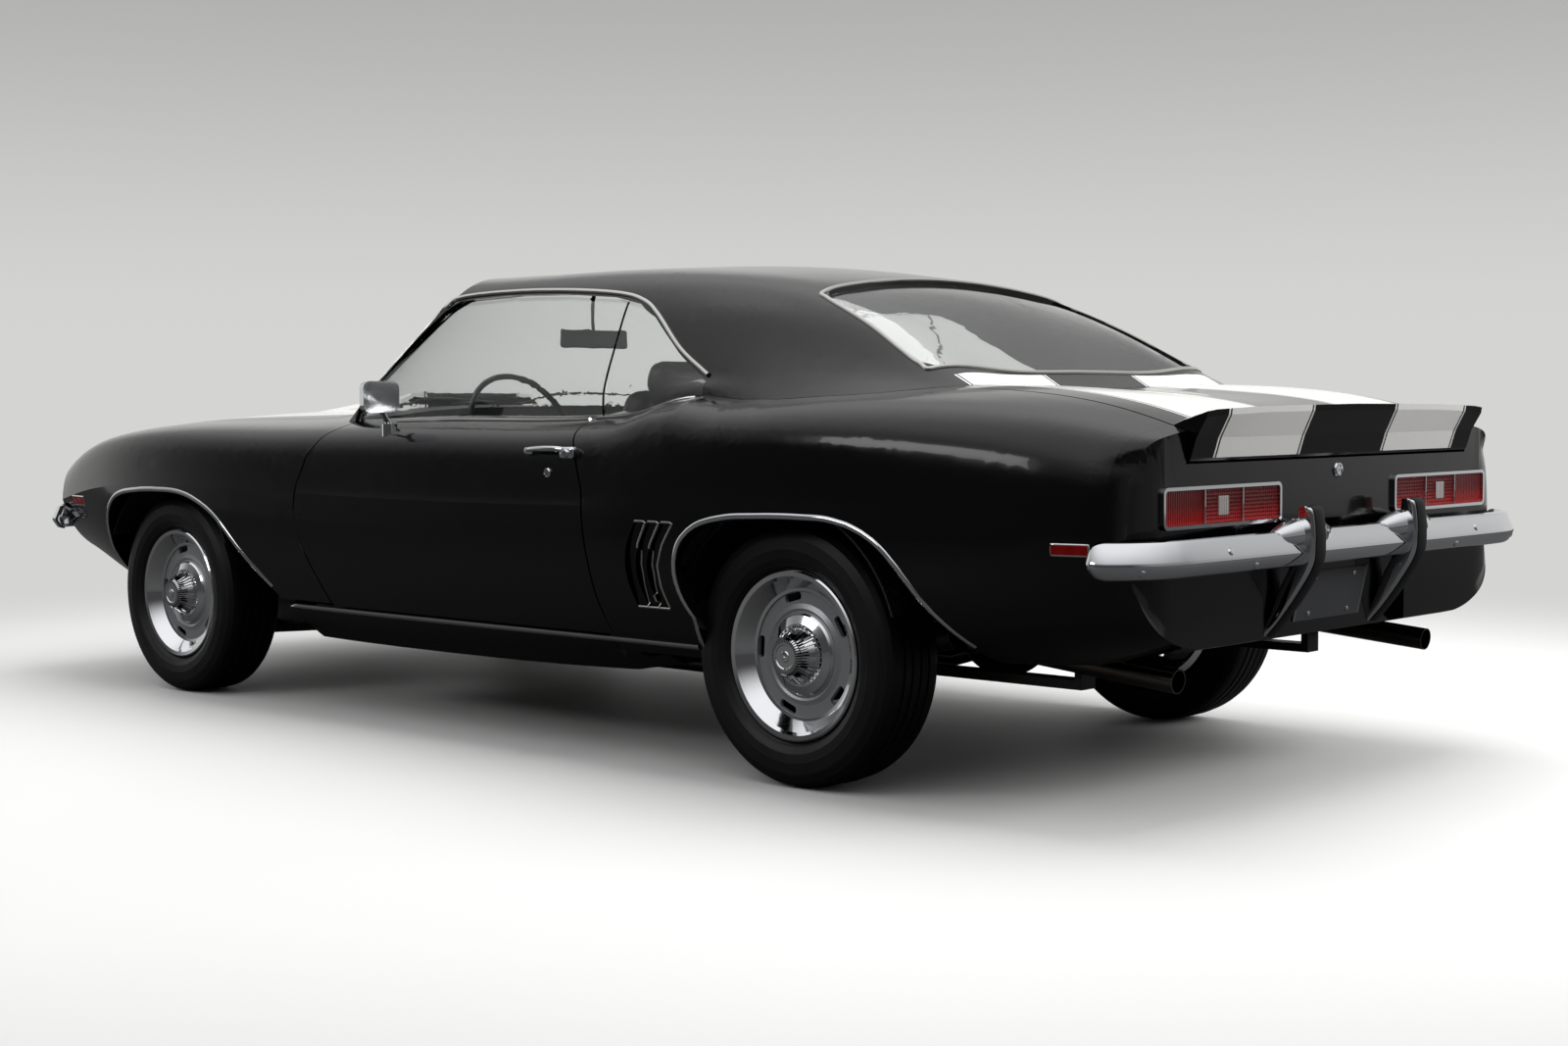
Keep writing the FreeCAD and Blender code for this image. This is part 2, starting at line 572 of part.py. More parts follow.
def build_bumpers():
    blade = [(0, -40), (16, -36), (32, -12), (32, -4), (14, 38), (0, 42), (0, 34), (9, 30), (24, -4), (24, -10),
             (12, -30), (0, -32)]
    half_path = [(-2345, 0), (-2344, 400), (-2341, 700), (-2336, 815), (-2318, 872), (-2275, 897), (-2222, 899)]
    rear_path = [V(x, -y, rear_bumper_z) for x, y in reversed(half_path[1:])]
    rear_path = rear_path + [V(x, y, rear_bumper_z) for x, y in half_path]
    bracket = box(-2362, tail_x - 0.3, 420, 460, rear_bumper_z + 6, rear_bumper_z + 16)
    bumper = fused([swept_blade(rear_path, blade), bracket, mirrored(bracket)])
    guard_line = [(-2376, 690), (-2392, 684), (-2399, 620), (-2394, 560), (-2360, 500), (-2310, 432),
                  (-2272, 386), (-2238, 386), (-2262, 432), (-2316, 500), (-2344, 545), (-2352, 600),
                  (-2352, 690)]
    guard = side_prism(guard_line, guard_inner_y, guard_outer_y)
    panel = side_prism([(tail_x - 0.3, 600), (tail_x - 0.3, valance_top - 1), (tail_x + 37.7, 380), (-2100, 380),
                        (-2100, 600)], 200, 280)
    guard = biggest(guard.cut(panel))
    horn_profile = [(0, 0), (30, 0), (34, 5), (30, 11), (34, 17), (30, 23), (34, 29), (31, 42), (24, 78), (10, 122),
                    (0, 126)]
    horn = revolved(horn_profile, V(-2352, guard_outer_y - 10, 656), V(12, 120, -34), Z_AXIS.cross(V(12, 120, -34)))
    keep("rear_bumper", biggest(fused([bumper, guard, mirrored(guard), horn, mirrored(horn)])))
    half_path = [(2332, 0), (2312, 400), (2268, 700), (2215, 812), (2140, 850)]
    front_path = [V(x, y, front_bumper_z) for x, y in reversed(half_path[1:])]
    front_path = front_path + [V(x, -y, front_bumper_z) for x, y in half_path]
    bracket = box(2285.5, 2322, 380, 420, front_bumper_z - 39, front_bumper_z - 29)
    keep("front_bumper", fused([swept_blade(front_path, blade), bracket, mirrored(bracket)]))


def build_grille():
    depth = 2150.0
    side_y = mouth_half - 0.3
    bars = [box(depth, depth + 4, -side_y, side_y, mouth_low + 0.3, mouth_top - 0.3)]
    for i in range(8):
        z = mouth_low + 14 + i * 21
        bars.append(box(depth, depth + 28, -side_y, side_y, z, z + 4))
    for i in range(21):
        y = -690 + i * 69
        bars.append(box(depth, depth + 24, y - 2, y + 2, mouth_low + 0.3, mouth_top - 0.3))
    lamp_back = V(depth + 4.3, headlamp_y, headlamp_z)
    ring_outer = headlamp_radius + 17.7
    seats = cylinder(lamp_back, lamp_back + X_AXIS * 106, ring_outer + 0.3)
    surround = box(depth - 4, 2400, -side_y, side_y, mouth_low + 0.6, mouth_top - 0.3)
    surround = surround.cut(box(depth + 4, 2400, -side_y + 5, side_y - 5, mouth_low + 5, mouth_top - 5))
    surround = surround.cut(box(2100, depth + 5, -side_y + 5, side_y - 5, mouth_low + 5, mouth_top - 5))
    bars.append(surround.cut(ahead_of_nose(-4)))
    keep("grille", biggest(fused(bars).cut([seats, mirrored(seats)])))
    r = headlamp_radius
    bulb = revolved([(0, 0), (r, 0), (r, 20), (r - 20, 31), (r - 50, 37), (0, 39)], lamp_back, X_AXIS, Z_AXIS)
    ring = revolved([(r + 0.3, 0), (ring_outer, 0), (ring_outer, 26), (r + 10, 34), (r + 0.3, 26)], lamp_back, X_AXIS,
                    Z_AXIS)
    keep("headlamps", both_sides(bulb))
    keep("headlamp_rings", both_sides(ring))


def build_ends():
    build_tail_lamps()
    build_bumpers()
    build_grille()
    outer = body_loft(-0.3).common(box(tail_x - 0.3, FAR, -FAR, FAR, 0, 1500))
    keep("spoiler", biggest(spoiler_solid().cut(outer)))
    plate = box(tail_x - 3.3, tail_x - 0.3, -plate_half, plate_half, 410, 530)
    plate.rotate(V(tail_x - 0.3, 0, valance_top - 1), Y_AXIS, -math.degrees(math.atan2(38, 167.7)))
    keep("number_plate", plate)
    raised = body_loft(-4)
    outer_body = body_loft(-0.3)
    rear_marker = biggest(raised.common(box(-2216, -2134, 860, 960, 606, 626)).cut(outer_body))
    front_marker = biggest(raised.common(box(1950, 2060, 780, 960, 596, 622)).cut(outer_body))
    keep("side_markers", Part.makeCompound([rear_marker, mirrored(rear_marker), front_marker,
                                            mirrored(front_marker)]))



def tyre_solid():
    """A tyre about the Y axis: bulging walls, round shoulders and four grooves in the tread."""
    half = tyre_width / 2.0
    tread = tyre_radius
    seat = rim_radius + 0.3
    bead = rim_width / 2.0 - 11.0
    wall = [(seat, bead), (rim_radius + 13, bead), (rim_radius + 24, half - 12), (rim_radius + 40, half - 3),
            (rim_radius + 62, half), (tread - 36, half - 3), (tread - 16, half - 12), (tread - 6, half - 24)]
    crown = [(tread - 3, half - 36)]
    for groove_y in (44, 15):
        crown.append((tread - 1, groove_y + 4))
        crown.append((tread - 9, groove_y + 3))
        crown.append((tread - 9, groove_y - 3))
        crown.append((tread, groove_y - 4))
    outer_half = wall + crown
    profile = outer_half + [(r, -h) for r, h in reversed(outer_half)]
    return revolved(profile, ORIGIN, Y_AXIS, Z_AXIS)


def wheel_solid():
    """A steel wheel about the Y axis with its deep trim ring, slotted disc and ribbed cap."""
    edge = rim_width / 2.0 - 10.7
    lip = rim_radius + 12
    bore = spindle_radius + running_fit
    barrel = revolved([(rim_radius, -edge), (rim_radius, edge), (lip, edge), (lip, edge + 7), (lip - 4, edge + 10),
                       (rim_radius - 3, edge + 8), (rim_radius - 10, edge), (trim_ring_inner + 4, disc_height + 6),
                       (trim_ring_inner - 4, disc_height + 4), (trim_ring_inner - 4, disc_height - 4),
                       (rim_radius - 14, disc_height - 10), (rim_radius - 24, -edge + 20), (rim_radius - 6, -edge - 6),
                       (lip, -edge - 6), (lip, -edge)], ORIGIN, Y_AXIS, Z_AXIS)
    disc = revolved([(bore, 0), (70, 0), (104, disc_height - 12), (trim_ring_inner, disc_height - 8),
                     (trim_ring_inner, disc_height), (124, disc_height + 2), (112, disc_height + 7),
                     (106, disc_height + 4), (96, disc_height + 12), (76, disc_height + 19), (60, disc_height + 19),
                     (60, 30), (bore, 30)], ORIGIN, Y_AXIS, Z_AXIS)
    slots = []
    for k in range(slot_count):
        slot = rounded_box(-27, 27, 0, 100, slot_radius - 10, slot_radius + 10, 8)
        slot.rotate(ORIGIN, Y_AXIS, 360.0 / slot_count * k + 14)
        slots.append(slot)
    face = cap_height - 2
    core = revolved([(0, disc_height + 19), (66, disc_height + 19), (64, disc_height + 26), (42, face - 12),
                     (47, face - 8), (47, face - 4), (42, cap_height), (30, cap_height), (28, face), (14, face),
                     (12, cap_height), (0, cap_height + 1)], ORIGIN, Y_AXIS, Z_AXIS)
    rib_line = [V(-1.6, disc_height + 19, 40), V(-1.6, disc_height + 19, 73), V(-1.6, disc_height + 26, 71),
                V(-1.6, face - 10, 47), V(-1.6, face - 10, 36)]
    rib = polygon_face(rib_line).extrude(V(3.2, 0, 0))
    ribs = []
    for k in range(cap_rib_count):
        turned = rib.copy()
        turned.rotate(ORIGIN, Y_AXIS, 360.0 / cap_rib_count * k)
        ribs.append(turned)
    seat = cylinder(V(0, 30, 0), V(0, disc_height + 19.5, 0), 60.5)
    return fused([barrel, disc.cut(slots), seat, fused([core] + ribs)])


def build_wheels():
    tyre = tyre_solid()
    wheel = wheel_solid()
    for name, axle, side in (("front_left", front_axle_x, 1), ("front_right", front_axle_x, -1),
                             ("rear_left", rear_axle_x, 1), ("rear_right", rear_axle_x, -1)):
        for kind, solid in (("tyre_", tyre), ("wheel_", wheel)):
            placed = solid.copy()
            if side < 0:
                placed = mirrored(placed)
            placed.translate(V(axle, side * half_track, hub_z))
            keep(kind + name, placed)


def build_chassis():
    spindle_tip = half_track + 24
    upright = box(front_axle_x - 26, front_axle_x + 26, 698, 732, hub_z - 118, hub_z + 118)
    spindle = cylinder(V(front_axle_x, 732, hub_z), V(front_axle_x, spindle_tip, hub_z), spindle_radius)
    disc_brake = tube(V(front_axle_x, 731, hub_z), V(front_axle_x, 751, hub_z), 119, 30)
    hub_plate = cylinder(V(front_axle_x, 732, hub_z), V(front_axle_x, 740, hub_z), 34)
    knuckle = fused([upright, spindle, hub_plate, disc_brake])
    eye = cylinder(V(front_axle_x, kingpin_y, 100), V(front_axle_x, kingpin_y, 500), 9 + running_fit)
    knuckle = knuckle.cut(eye)
    keep("knuckle_left", knuckle)
    keep("knuckle_right", mirrored(knuckle))
    low_arm = plan_prism([(front_axle_x - 170, 380), (front_axle_x + 170, 380), (front_axle_x + 22, 728),
                          (front_axle_x - 22, 728)], 176, 196)
    low_arm = low_arm.cut(plan_prism([(front_axle_x - 90, 400), (front_axle_x + 90, 400),
                                      (front_axle_x, 600)], 170, 200))
    low_pin = cylinder(V(front_axle_x, kingpin_y, 190), V(front_axle_x, kingpin_y, 240), 9)
    high_arm = plan_prism([(front_axle_x - 130, 480), (front_axle_x + 130, 480), (front_axle_x + 22, 728),
                           (front_axle_x - 22, 728)], 448, 464)
    high_pin = cylinder(V(front_axle_x, kingpin_y, 404), V(front_axle_x, kingpin_y, 450), 9)
    rail = box(803.3, 2060, 330, 390, 196.3, 262)
    tower = box(front_axle_x - 130, front_axle_x + 130, 405, 479.7, 262, 470)
    spring = cylinder(V(front_axle_x, 440, 196.3), V(front_axle_x, 440, 262), 30)
    keep("control_arms", Part.makeCompound([fused([low_arm, low_pin]), fused([high_arm, high_pin]),
                                            mirrored(fused([low_arm, low_pin])),
                                            mirrored(fused([high_arm, high_pin]))]))
    cross = box(front_axle_x - 90, front_axle_x + 90, -330, 330, 200, 262)
    sides = [rail, tower, box(front_axle_x - 130, front_axle_x + 130, 390, 405, 240, 300)]
    keep("subframe", fused(sides + [mirrored(s) for s in sides] + [cross, box(1990, 2060, -330, 330, 200, 262)]))

    engine = [box(900, 1480, -250, 250, 262.3, 620), box(960, 1420, -300, 300, 560, 700),
              cylinder(V(1190, 0, 700), V(1190, 0, 790), 180)]
    keep("engine", fused(engine))
    gearbox = revolved([(0, 0), (150, 0), (150, 50), (98, 92), (80, 420), (60, 520), (0, 520)],
                       V(899.7, 0, 400), V(-1, 0, 0), Z_AXIS)
    keep("radiator", box(1900, 1960, -389, 389, 262.3, 700))
    shaft = cylinder(V(379, 0, 400), V(rear_axle_x + 130, 0, 340), 35)
    keep("gearbox", Part.makeCompound([gearbox, shaft]))
    tube_axle = cylinder(V(rear_axle_x, -735, hub_z), V(rear_axle_x, 735, hub_z), 38)
    diff = Part.makeSphere(128, V(rear_axle_x, 0, hub_z))
    ends = [cylinder(V(rear_axle_x, 735, hub_z), V(rear_axle_x, spindle_tip, hub_z), spindle_radius),
            cylinder(V(rear_axle_x, 700, hub_z), V(rear_axle_x, 740, hub_z), 120)]
    keep("rear_axle", fused([tube_axle, diff] + ends + [mirrored(e) for e in ends]))
    spring = box(rear_axle_x - 630, rear_axle_x + 612, 480, 535, 261.7, 283.7)
    shackle = box(rear_axle_x - 630, rear_axle_x - 610, 480, 535, 270, 439.7)
    keep("leaf_springs", both_sides(fused([spring, shackle])))
    line = [V(1000, 277.5, 380), V(930, 277.5, 300), V(860, 300, 205), V(790, 300, 190), V(-900, 300, 190),
            V(-1040, 300, 230), V(-1180, 300, 392), V(-1440, 300, 392), V(-1589.7, 300, 380)]
    run = [Part.makeSphere(27, corner) for corner in line[1:-1]]
    run = run + [cylinder(line[i], line[i + 1], 27) for i in range(len(line) - 1)]
    run = fused(run)
    muffler = rounded_box(-1680, -1590, -600, 600, 330, 430, 30)
    keep("exhaust", Part.makeCompound([run, mirrored(run), muffler]))
    tip = tube(V(-1680.3, 566, 360), V(-2235, 573, 310), 28, 3)
    keep("exhaust_tips", both_sides(tip))
    keep("fuel_tank", rounded_box(-2150, -1700, -400, 400, 350, 439.7, 30))
    low_line = [(-680.3, 250), (-700, 400), (-1080, 440), (-1140, 520), (-1500, 520), (-1560, 440),
                (-2259.7, 440)]
    high_line = [(x, z + 20) for x, z in reversed(low_line)]
    high_line[-1] = (-680.3, 300)
    rear_floor = side_prism(low_line + high_line, -bench_half, bench_half).cut(box(-720, -670, -116, 116, 0, 399))
    arch = well(rear_axle_x, 371.7, wheelhouse_inner_y, 880).cut(well(rear_axle_x, 366, 500, 900))
    arch = arch.common(box(-FAR, FAR, 0, FAR, 440, 1000))
    side = box(rear_axle_x - 360, rear_axle_x + 360, wheelhouse_inner_y, 560, 440, 682)
    side = side.common(well(rear_axle_x, 371.7, 500, 900))
    arch = fused([arch, side])
    keep("rear_floor", Part.makeCompound([rear_floor, arch, mirrored(arch)]))
    arch = well(front_axle_x, 385, 482, 880).cut(well(front_axle_x, 379, 400, 900))
    arch = arch.common(box(-FAR, FAR, 0, FAR, 500, 1000))
    apron = box(803.3, 2060, 474, 481.7, 480, 790).cut(box(front_axle_x - 134, front_axle_x + 134, 400, 500, 400, 474))
    apron = apron.cut(well(front_axle_x, 385, 400, 470))
    keep("inner_fenders", both_sides(fused([arch, apron])))
    pillar = box(640, 797, 690, 744, 330, 830)
    wall = box(797, 803, -735, 735, 250, 900).common(body_loft(skin + 0.3))
    wall = wall.cut(box(700, 900, -110, 110, 0, 534))
    wall = wall.cut([box(700, 900, 612, 665, 620, 900), box(700, 900, -612, -665, 620, 900)])
    hood_pin = cylinder(V(hood_hinge_x, arm_y - 10, hood_hinge_z), V(hood_hinge_x, 695, hood_hinge_z), pin_radius)
    door_pin = cylinder(V(door_hinge_x, door_hinge_y, 612), V(door_hinge_x, door_hinge_y, 714), pin_radius)
    leaf = box(door_hinge_x - 8, door_hinge_x + 8, 740, door_hinge_y + 6, 646, 682)
    sides = [pillar, hood_pin, door_pin, leaf]
    keep("firewall", fused([biggest(wall)] + sides + [mirrored(piece) for piece in sides]))


def build_cabin():
    cushion = rounded_box(-300, 210, seat_y - seat_half, seat_y + seat_half, 249, seat_top, 50)
    cushion = cushion.common(body_loft(skin + 0.4).fuse(box(-900, 900, 0, 700, seat_top - 50, 1300)))
    back = rounded_box(-60, 60, seat_y - seat_half, seat_y + seat_half, 0, 620, 50)
    rest = rounded_box(-50, 40, seat_y - 105, seat_y + 105, 620 + soft_clearance, 750, 40)
    for piece in (back, rest):
        piece.rotate(ORIGIN, Y_AXIS, -seat_tilt)
        piece.translate(V(-290, 0, seat_top - 20))
    back = back.cut(box(-300 - soft_clearance, 900, 0, 700, 0, seat_top + soft_clearance))
    seat = [cushion, biggest(back), rest]
    keep("front_seats", Part.makeCompound(seat + [mirrored(piece) for piece in seat]))
    bench = rounded_box(-1070, -640, -bench_half, bench_half, 462, 560, 40)
    bench_back = rounded_box(-60, 60, -bench_half, bench_half, 0, 370, 45)
    bench_back.rotate(ORIGIN, Y_AXIS, -seat_tilt - 2)
    bench_back.translate(V(-1110, 0, 563))
    bench_back = bench_back.cut(box(-1070 - soft_clearance, -500, -600, 600, 0, 560 + soft_clearance))
    keep("rear_seat", Part.makeCompound([bench, biggest(bench_back)]))
    dash = side_prism([(560, 640), (470, 690), (440, 780), (460, 830), (540, 838), (796.7, 838), (796.7, 640)],
                      -604, 604)
    pad = pieces["dashboard"]
    tilt = math.radians(column_tilt)
    column_dir = V(-math.cos(tilt), 0, math.sin(tilt))
    hub = V(wheel_hub_x, seat_y, wheel_hub_z)
    boss_back = hub - column_dir * 30
    column = cylinder(boss_back - column_dir * 230, boss_back - column_dir * 6, 22)
    shaft = cylinder(boss_back - column_dir * 40, hub - column_dir * 5, 10)
    column = fused([column, shaft])
    dash = dash.cut(cylinder(hub - column_dir * 600, hub, 22.3))
    keep("dashboard", Part.makeCompound([dash, pad]))
    keep("steering_column", biggest(column))
    rim = Part.makeTorus(190, 9, hub, column_dir)
    boss = cylinder(boss_back, hub + column_dir * 12, 34)
    up = column_dir.cross(Y_AXIS)
    spokes = []
    for direction in (Y_AXIS, Y_AXIS * -1, V(-up.x, 0, -abs(up.z))):
        spokes.append(cylinder(hub, hub + direction * 190, 7))
    wheel = fused([rim, boss] + spokes).cut(cylinder(boss_back, hub - column_dir * 0, 10 + running_fit))
    keep("steering_wheel", wheel)
    ceiling = roof_loft(roof_thickness + 0.3)
    stalk = cylinder(V(327, 0, 1140), V(327, 0, 1400), 6).common(ceiling)
    keep("cabin_mirror", fused([rounded_box(318, 336, -110, 110, 1105, 1160, 6), stalk]))
    above = body_loft(-0.3)
    head = box(-17, 17, -56, 56, -45, 45)
    head = head.makeFillet(22, [e for e in head.Edges if abs(e.Vertexes[0].X - e.Vertexes[1].X) > 1])
    front_rim = [e for e in head.Edges if min(v.X for v in e.Vertexes) > 16.9]
    head = head.makeChamfer(9, front_rim)
    head.rotate(ORIGIN, Z_AXIS, -mirror_turn)
    head.translate(V(mirror_x, mirror_y, mirror_z))
    foot = cylinder(V(mirror_x + 18, mirror_y - 50, 800), V(mirror_x + 18, mirror_y - 50, 876), 22)
    stalk = cylinder(V(mirror_x + 18, mirror_y - 50, 868), V(mirror_x, mirror_y - 6, mirror_z - 36), 8)
    keep("door_mirror", biggest(fused([head, foot, stalk]).cut(above)))
    bar = rounded_box(-598, -420, 924, 936, 800, 816, 5)
    feet = [rounded_box(-598, -560, 890, 930, 796, 818, 7), rounded_box(-446, -420, 890, 932, 801, 815, 5)]
    button = cylinder(V(-572, 900, 804), V(-572, 943, 804), 10)
    lock = cylinder(V(-519, 880, 748), V(-519, 929, 748), 11)
    handle = fused([bar, button] + feet).cut(above)
    handle = Part.makeCompound([biggest(handle), biggest(lock.cut(above))])
    keep("door_handle_left", handle)
    keep("door_handle_right", mirrored(handle))


def report_piece(name, shape):
    b = shape.BoundBox
    print(name, shape.isValid(), len(shape.Solids), [round(v.Volume / 1e6, 2) for v in shape.Solids][:4],
          [round(v) for v in (b.XMin, b.XMax, b.YMin, b.YMax, b.ZMin, b.ZMax)], flush=True)


def main():
    os.makedirs("parts", exist_ok=True)
    build_body()
    build_ends()
    build_wheels()
    build_chassis()
    build_cabin()
    for name, shape in pieces.items():
        report_piece(name, shape)
        shape.exportStep("parts/" + name + ".step")


main()
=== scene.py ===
"""Looks for a black two-door muscle car with white stripes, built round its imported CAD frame.

The file is laid out as an add-on and is run as a script. Lengths are metres, +X forward, +Y left.
"""
import json
import math

import bmesh
import bpy
from mathutils import Matrix, Vector

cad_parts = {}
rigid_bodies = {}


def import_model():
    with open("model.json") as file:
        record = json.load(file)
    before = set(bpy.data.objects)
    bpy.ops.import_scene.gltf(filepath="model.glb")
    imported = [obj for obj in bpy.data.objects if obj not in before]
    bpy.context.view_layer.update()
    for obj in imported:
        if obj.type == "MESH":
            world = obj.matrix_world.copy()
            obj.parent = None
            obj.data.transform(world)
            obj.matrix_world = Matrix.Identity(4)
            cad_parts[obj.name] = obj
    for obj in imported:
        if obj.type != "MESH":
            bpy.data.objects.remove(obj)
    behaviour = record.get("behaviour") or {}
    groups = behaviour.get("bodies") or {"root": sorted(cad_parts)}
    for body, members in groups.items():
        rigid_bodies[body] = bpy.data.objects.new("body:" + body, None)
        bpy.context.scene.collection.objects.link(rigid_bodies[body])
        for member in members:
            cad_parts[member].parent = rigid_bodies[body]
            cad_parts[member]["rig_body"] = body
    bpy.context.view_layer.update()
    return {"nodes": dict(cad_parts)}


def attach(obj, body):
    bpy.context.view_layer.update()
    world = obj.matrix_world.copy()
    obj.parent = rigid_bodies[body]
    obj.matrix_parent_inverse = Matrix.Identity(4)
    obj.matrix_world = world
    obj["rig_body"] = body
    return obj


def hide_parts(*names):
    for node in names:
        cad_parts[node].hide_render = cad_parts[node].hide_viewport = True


bl_info = {
    "name": "Striped muscle car",
    "version": (1, 0, 0),
    "blender": (4, 5, 0),
    "location": "3D View > Sidebar > Muscle car",
    "description": "Mouldings, trim, cabin, engine details and finishes of a striped muscle car",
    "category": "Object",
}

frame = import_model()
nodes = frame["nodes"]
# The piece that shows each CAD piece's skin: the CAD piece itself until a shaped one replaces it
skins = dict(nodes)

# Places that the car's source also names
FRONT_AXLE_X = 1.427
REAR_AXLE_X = -1.316
HUB_Z = 0.322
TAIL_X = -2.3
SEAT_Y = 0.36
SEAT_HALF = 0.24
SEAT_TILT = 18.0
# Sewn channels: their depth and width, and how far the sewn field reaches across and along a face
SEAM_DEPTH = 0.0045
SEAM_WIDTH = 0.006
FIELD_RUN = 0.80
FIELD_REACH = 0.84
BENCH_HALF = 0.555
WHEEL_HUB = (0.25, 0.36, 0.84)
COLUMN_TILT = 24.0

# Where rays that look for the left side start
OUTSIDE_Y = 1.3
INWARDS = (0, -1, 0)
# The camera that the photograph's own lines give: place, then yaw, pitch and roll in degrees
CAMERA_PLACE = (-4.9505, 4.7078, 0.9378)
CAMERA_ANGLES = (-46.573, -3.183, -0.345)
CAMERA_LENS = 50.83
CAMERA_SENSOR = 36.0
FLOOR_RADIUS = 14.0
# The floor turns into the backdrop between these distances from the car's middle
FLOOR_FADE = (2.9, 5.6)

# Side outlines by distance from the axle or along the car, and height
FRONT_ARCH = [
    (0.350, 0.440), (0.322, 0.552), (0.262, 0.618), (0.150, 0.648), (-0.060, 0.657), (-0.190, 0.650),
    (-0.296, 0.622), (-0.382, 0.580), (-0.460, 0.512), (-0.540, 0.436), (-0.606, 0.372),
]
REAR_ARCH = [
    (0.270, 0.406), (0.284, 0.440), (0.296, 0.481), (0.298, 0.545), (0.262, 0.604), (0.150, 0.645),
    (0.020, 0.655), (-0.120, 0.657), (-0.230, 0.650), (-0.345, 0.607), (-0.418, 0.540), (-0.482, 0.461),
    (-0.552, 0.378),
]
SIDE_WINDOW = [
    (0.500, 0.940), (0.428, 1.020), (0.338, 1.118), (0.252, 1.205), (0.205, 1.232), (-0.005, 1.240),
    (-0.260, 1.234), (-0.480, 1.218), (-0.590, 1.196), (-0.650, 1.158), (-0.728, 1.062), (-0.800, 0.985),
]
BACKLIGHT = [
    (-1.085, 0.0), (-1.090, 0.25), (-1.112, 0.48), (-1.150, 0.52), (-1.325, 0.5525), (-1.500, 0.585),
    (-1.540, 0.56), (-1.566, 0.30), (-1.572, 0.0),
]
# The car's outer width at the back of its tail, by height
TAIL_SIDE = [
    (0.360, 0.610), (0.420, 0.718), (0.500, 0.816), (0.550, 0.845), (0.600, 0.862), (0.650, 0.866), (0.700, 0.863),
    (0.750, 0.855), (0.800, 0.834), (0.840, 0.779), (0.879, 0.660),
]
TAIL_ROUND_X = 0.090
TAIL_ROUND_Y = 0.125
# How far the hip rises above the lofted body behind the side window, by distance behind the middle
HIP_RISE = [(0.680, 0.0), (0.735, 0.006), (0.846, 0.031), (0.953, 0.038), (1.092, 0.012), (1.226, 0.0)]
WINDOW_REACH = 0.133
# The rear bumper: its height, its rear face in plan, and its section as depth and height from there
BUMPER_Z = 0.594
BUMPER_LINE = [
    (-2.345, 0.0), (-2.344, 0.400), (-2.341, 0.680), (-2.333, 0.775), (-2.308, 0.842), (-2.267, 0.886),
    (-2.222, 0.900),
]
BUMPER_SECTION = [
    (0.000, -0.040), (0.012, -0.039), (0.019, -0.034), (0.030, -0.015), (0.032, -0.008), (0.030, -0.001),
    (0.016, 0.034), (0.011, 0.040), (0.000, 0.042), (-0.005, 0.022), (-0.005, -0.020),
]
# Steps along the blade and along a guard, and the length of the blade's domed ends
BUMPER_STEPS = 160
GUARD_STEPS = 36
BUMPER_DOME = 0.045
BUMPER_BOLTS = ((0.575, 0.604), (0.470, 0.568), (0.855, 0.571))
GUARD_Y = 0.240
GUARD_HALF = 0.026
# The power that squares a guard's oval section
SQUARENESS = 0.45
# A ribbed horn beside a guard: radius and distance from the guard
HORN = [
    (0, 0), (0.030, 0), (0.034, 0.005), (0.029, 0.011), (0.034, 0.017), (0.029, 0.023), (0.034, 0.029),
    (0.032, 0.042), (0.025, 0.078), (0.012, 0.114), (0, 0.122),
]
# A guard's rear and front outline: distance along the car and height
GUARD_REAR = [
    (-2.372, 0.690), (-2.388, 0.680), (-2.395, 0.620), (-2.390, 0.560), (-2.356, 0.500), (-2.306, 0.432),
    (-2.268, 0.388),
]
GUARD_FRONT = [
    (-2.350, 0.690), (-2.346, 0.664), (-2.338, 0.600), (-2.322, 0.545), (-2.298, 0.500), (-2.272, 0.432),
    (-2.242, 0.388),
]


# ---- Small helpers for placing and shaping

def deselect():
    """Object mode with nothing selected."""
    if bpy.context.object and bpy.context.object.mode != "OBJECT":
        bpy.ops.object.mode_set(mode="OBJECT")
    bpy.ops.object.select_all(action="DESELECT")


def pick(piece):
    """Makes a piece the only selected one and the active one."""
    deselect()
    piece.select_set(True)
    bpy.context.view_layer.objects.active = piece


def eased(value, low, high):
    """0 below one limit, 1 above the other, and a soft step between them."""
    share = min(max((value - low) / (high - low), 0.0), 1.0)
    return share * share * (3 - 2 * share)


def read_off(pairs, value):
    """The second number of a rising table at a value of its first."""
    if value <= pairs[0][0]:
        return pairs[0][1]
    for (a, low), (b, high) in zip(pairs, pairs[1:]):
        if value <= b:
            return low + (high - low) * (value - a) / (b - a)
    return pairs[-1][1]


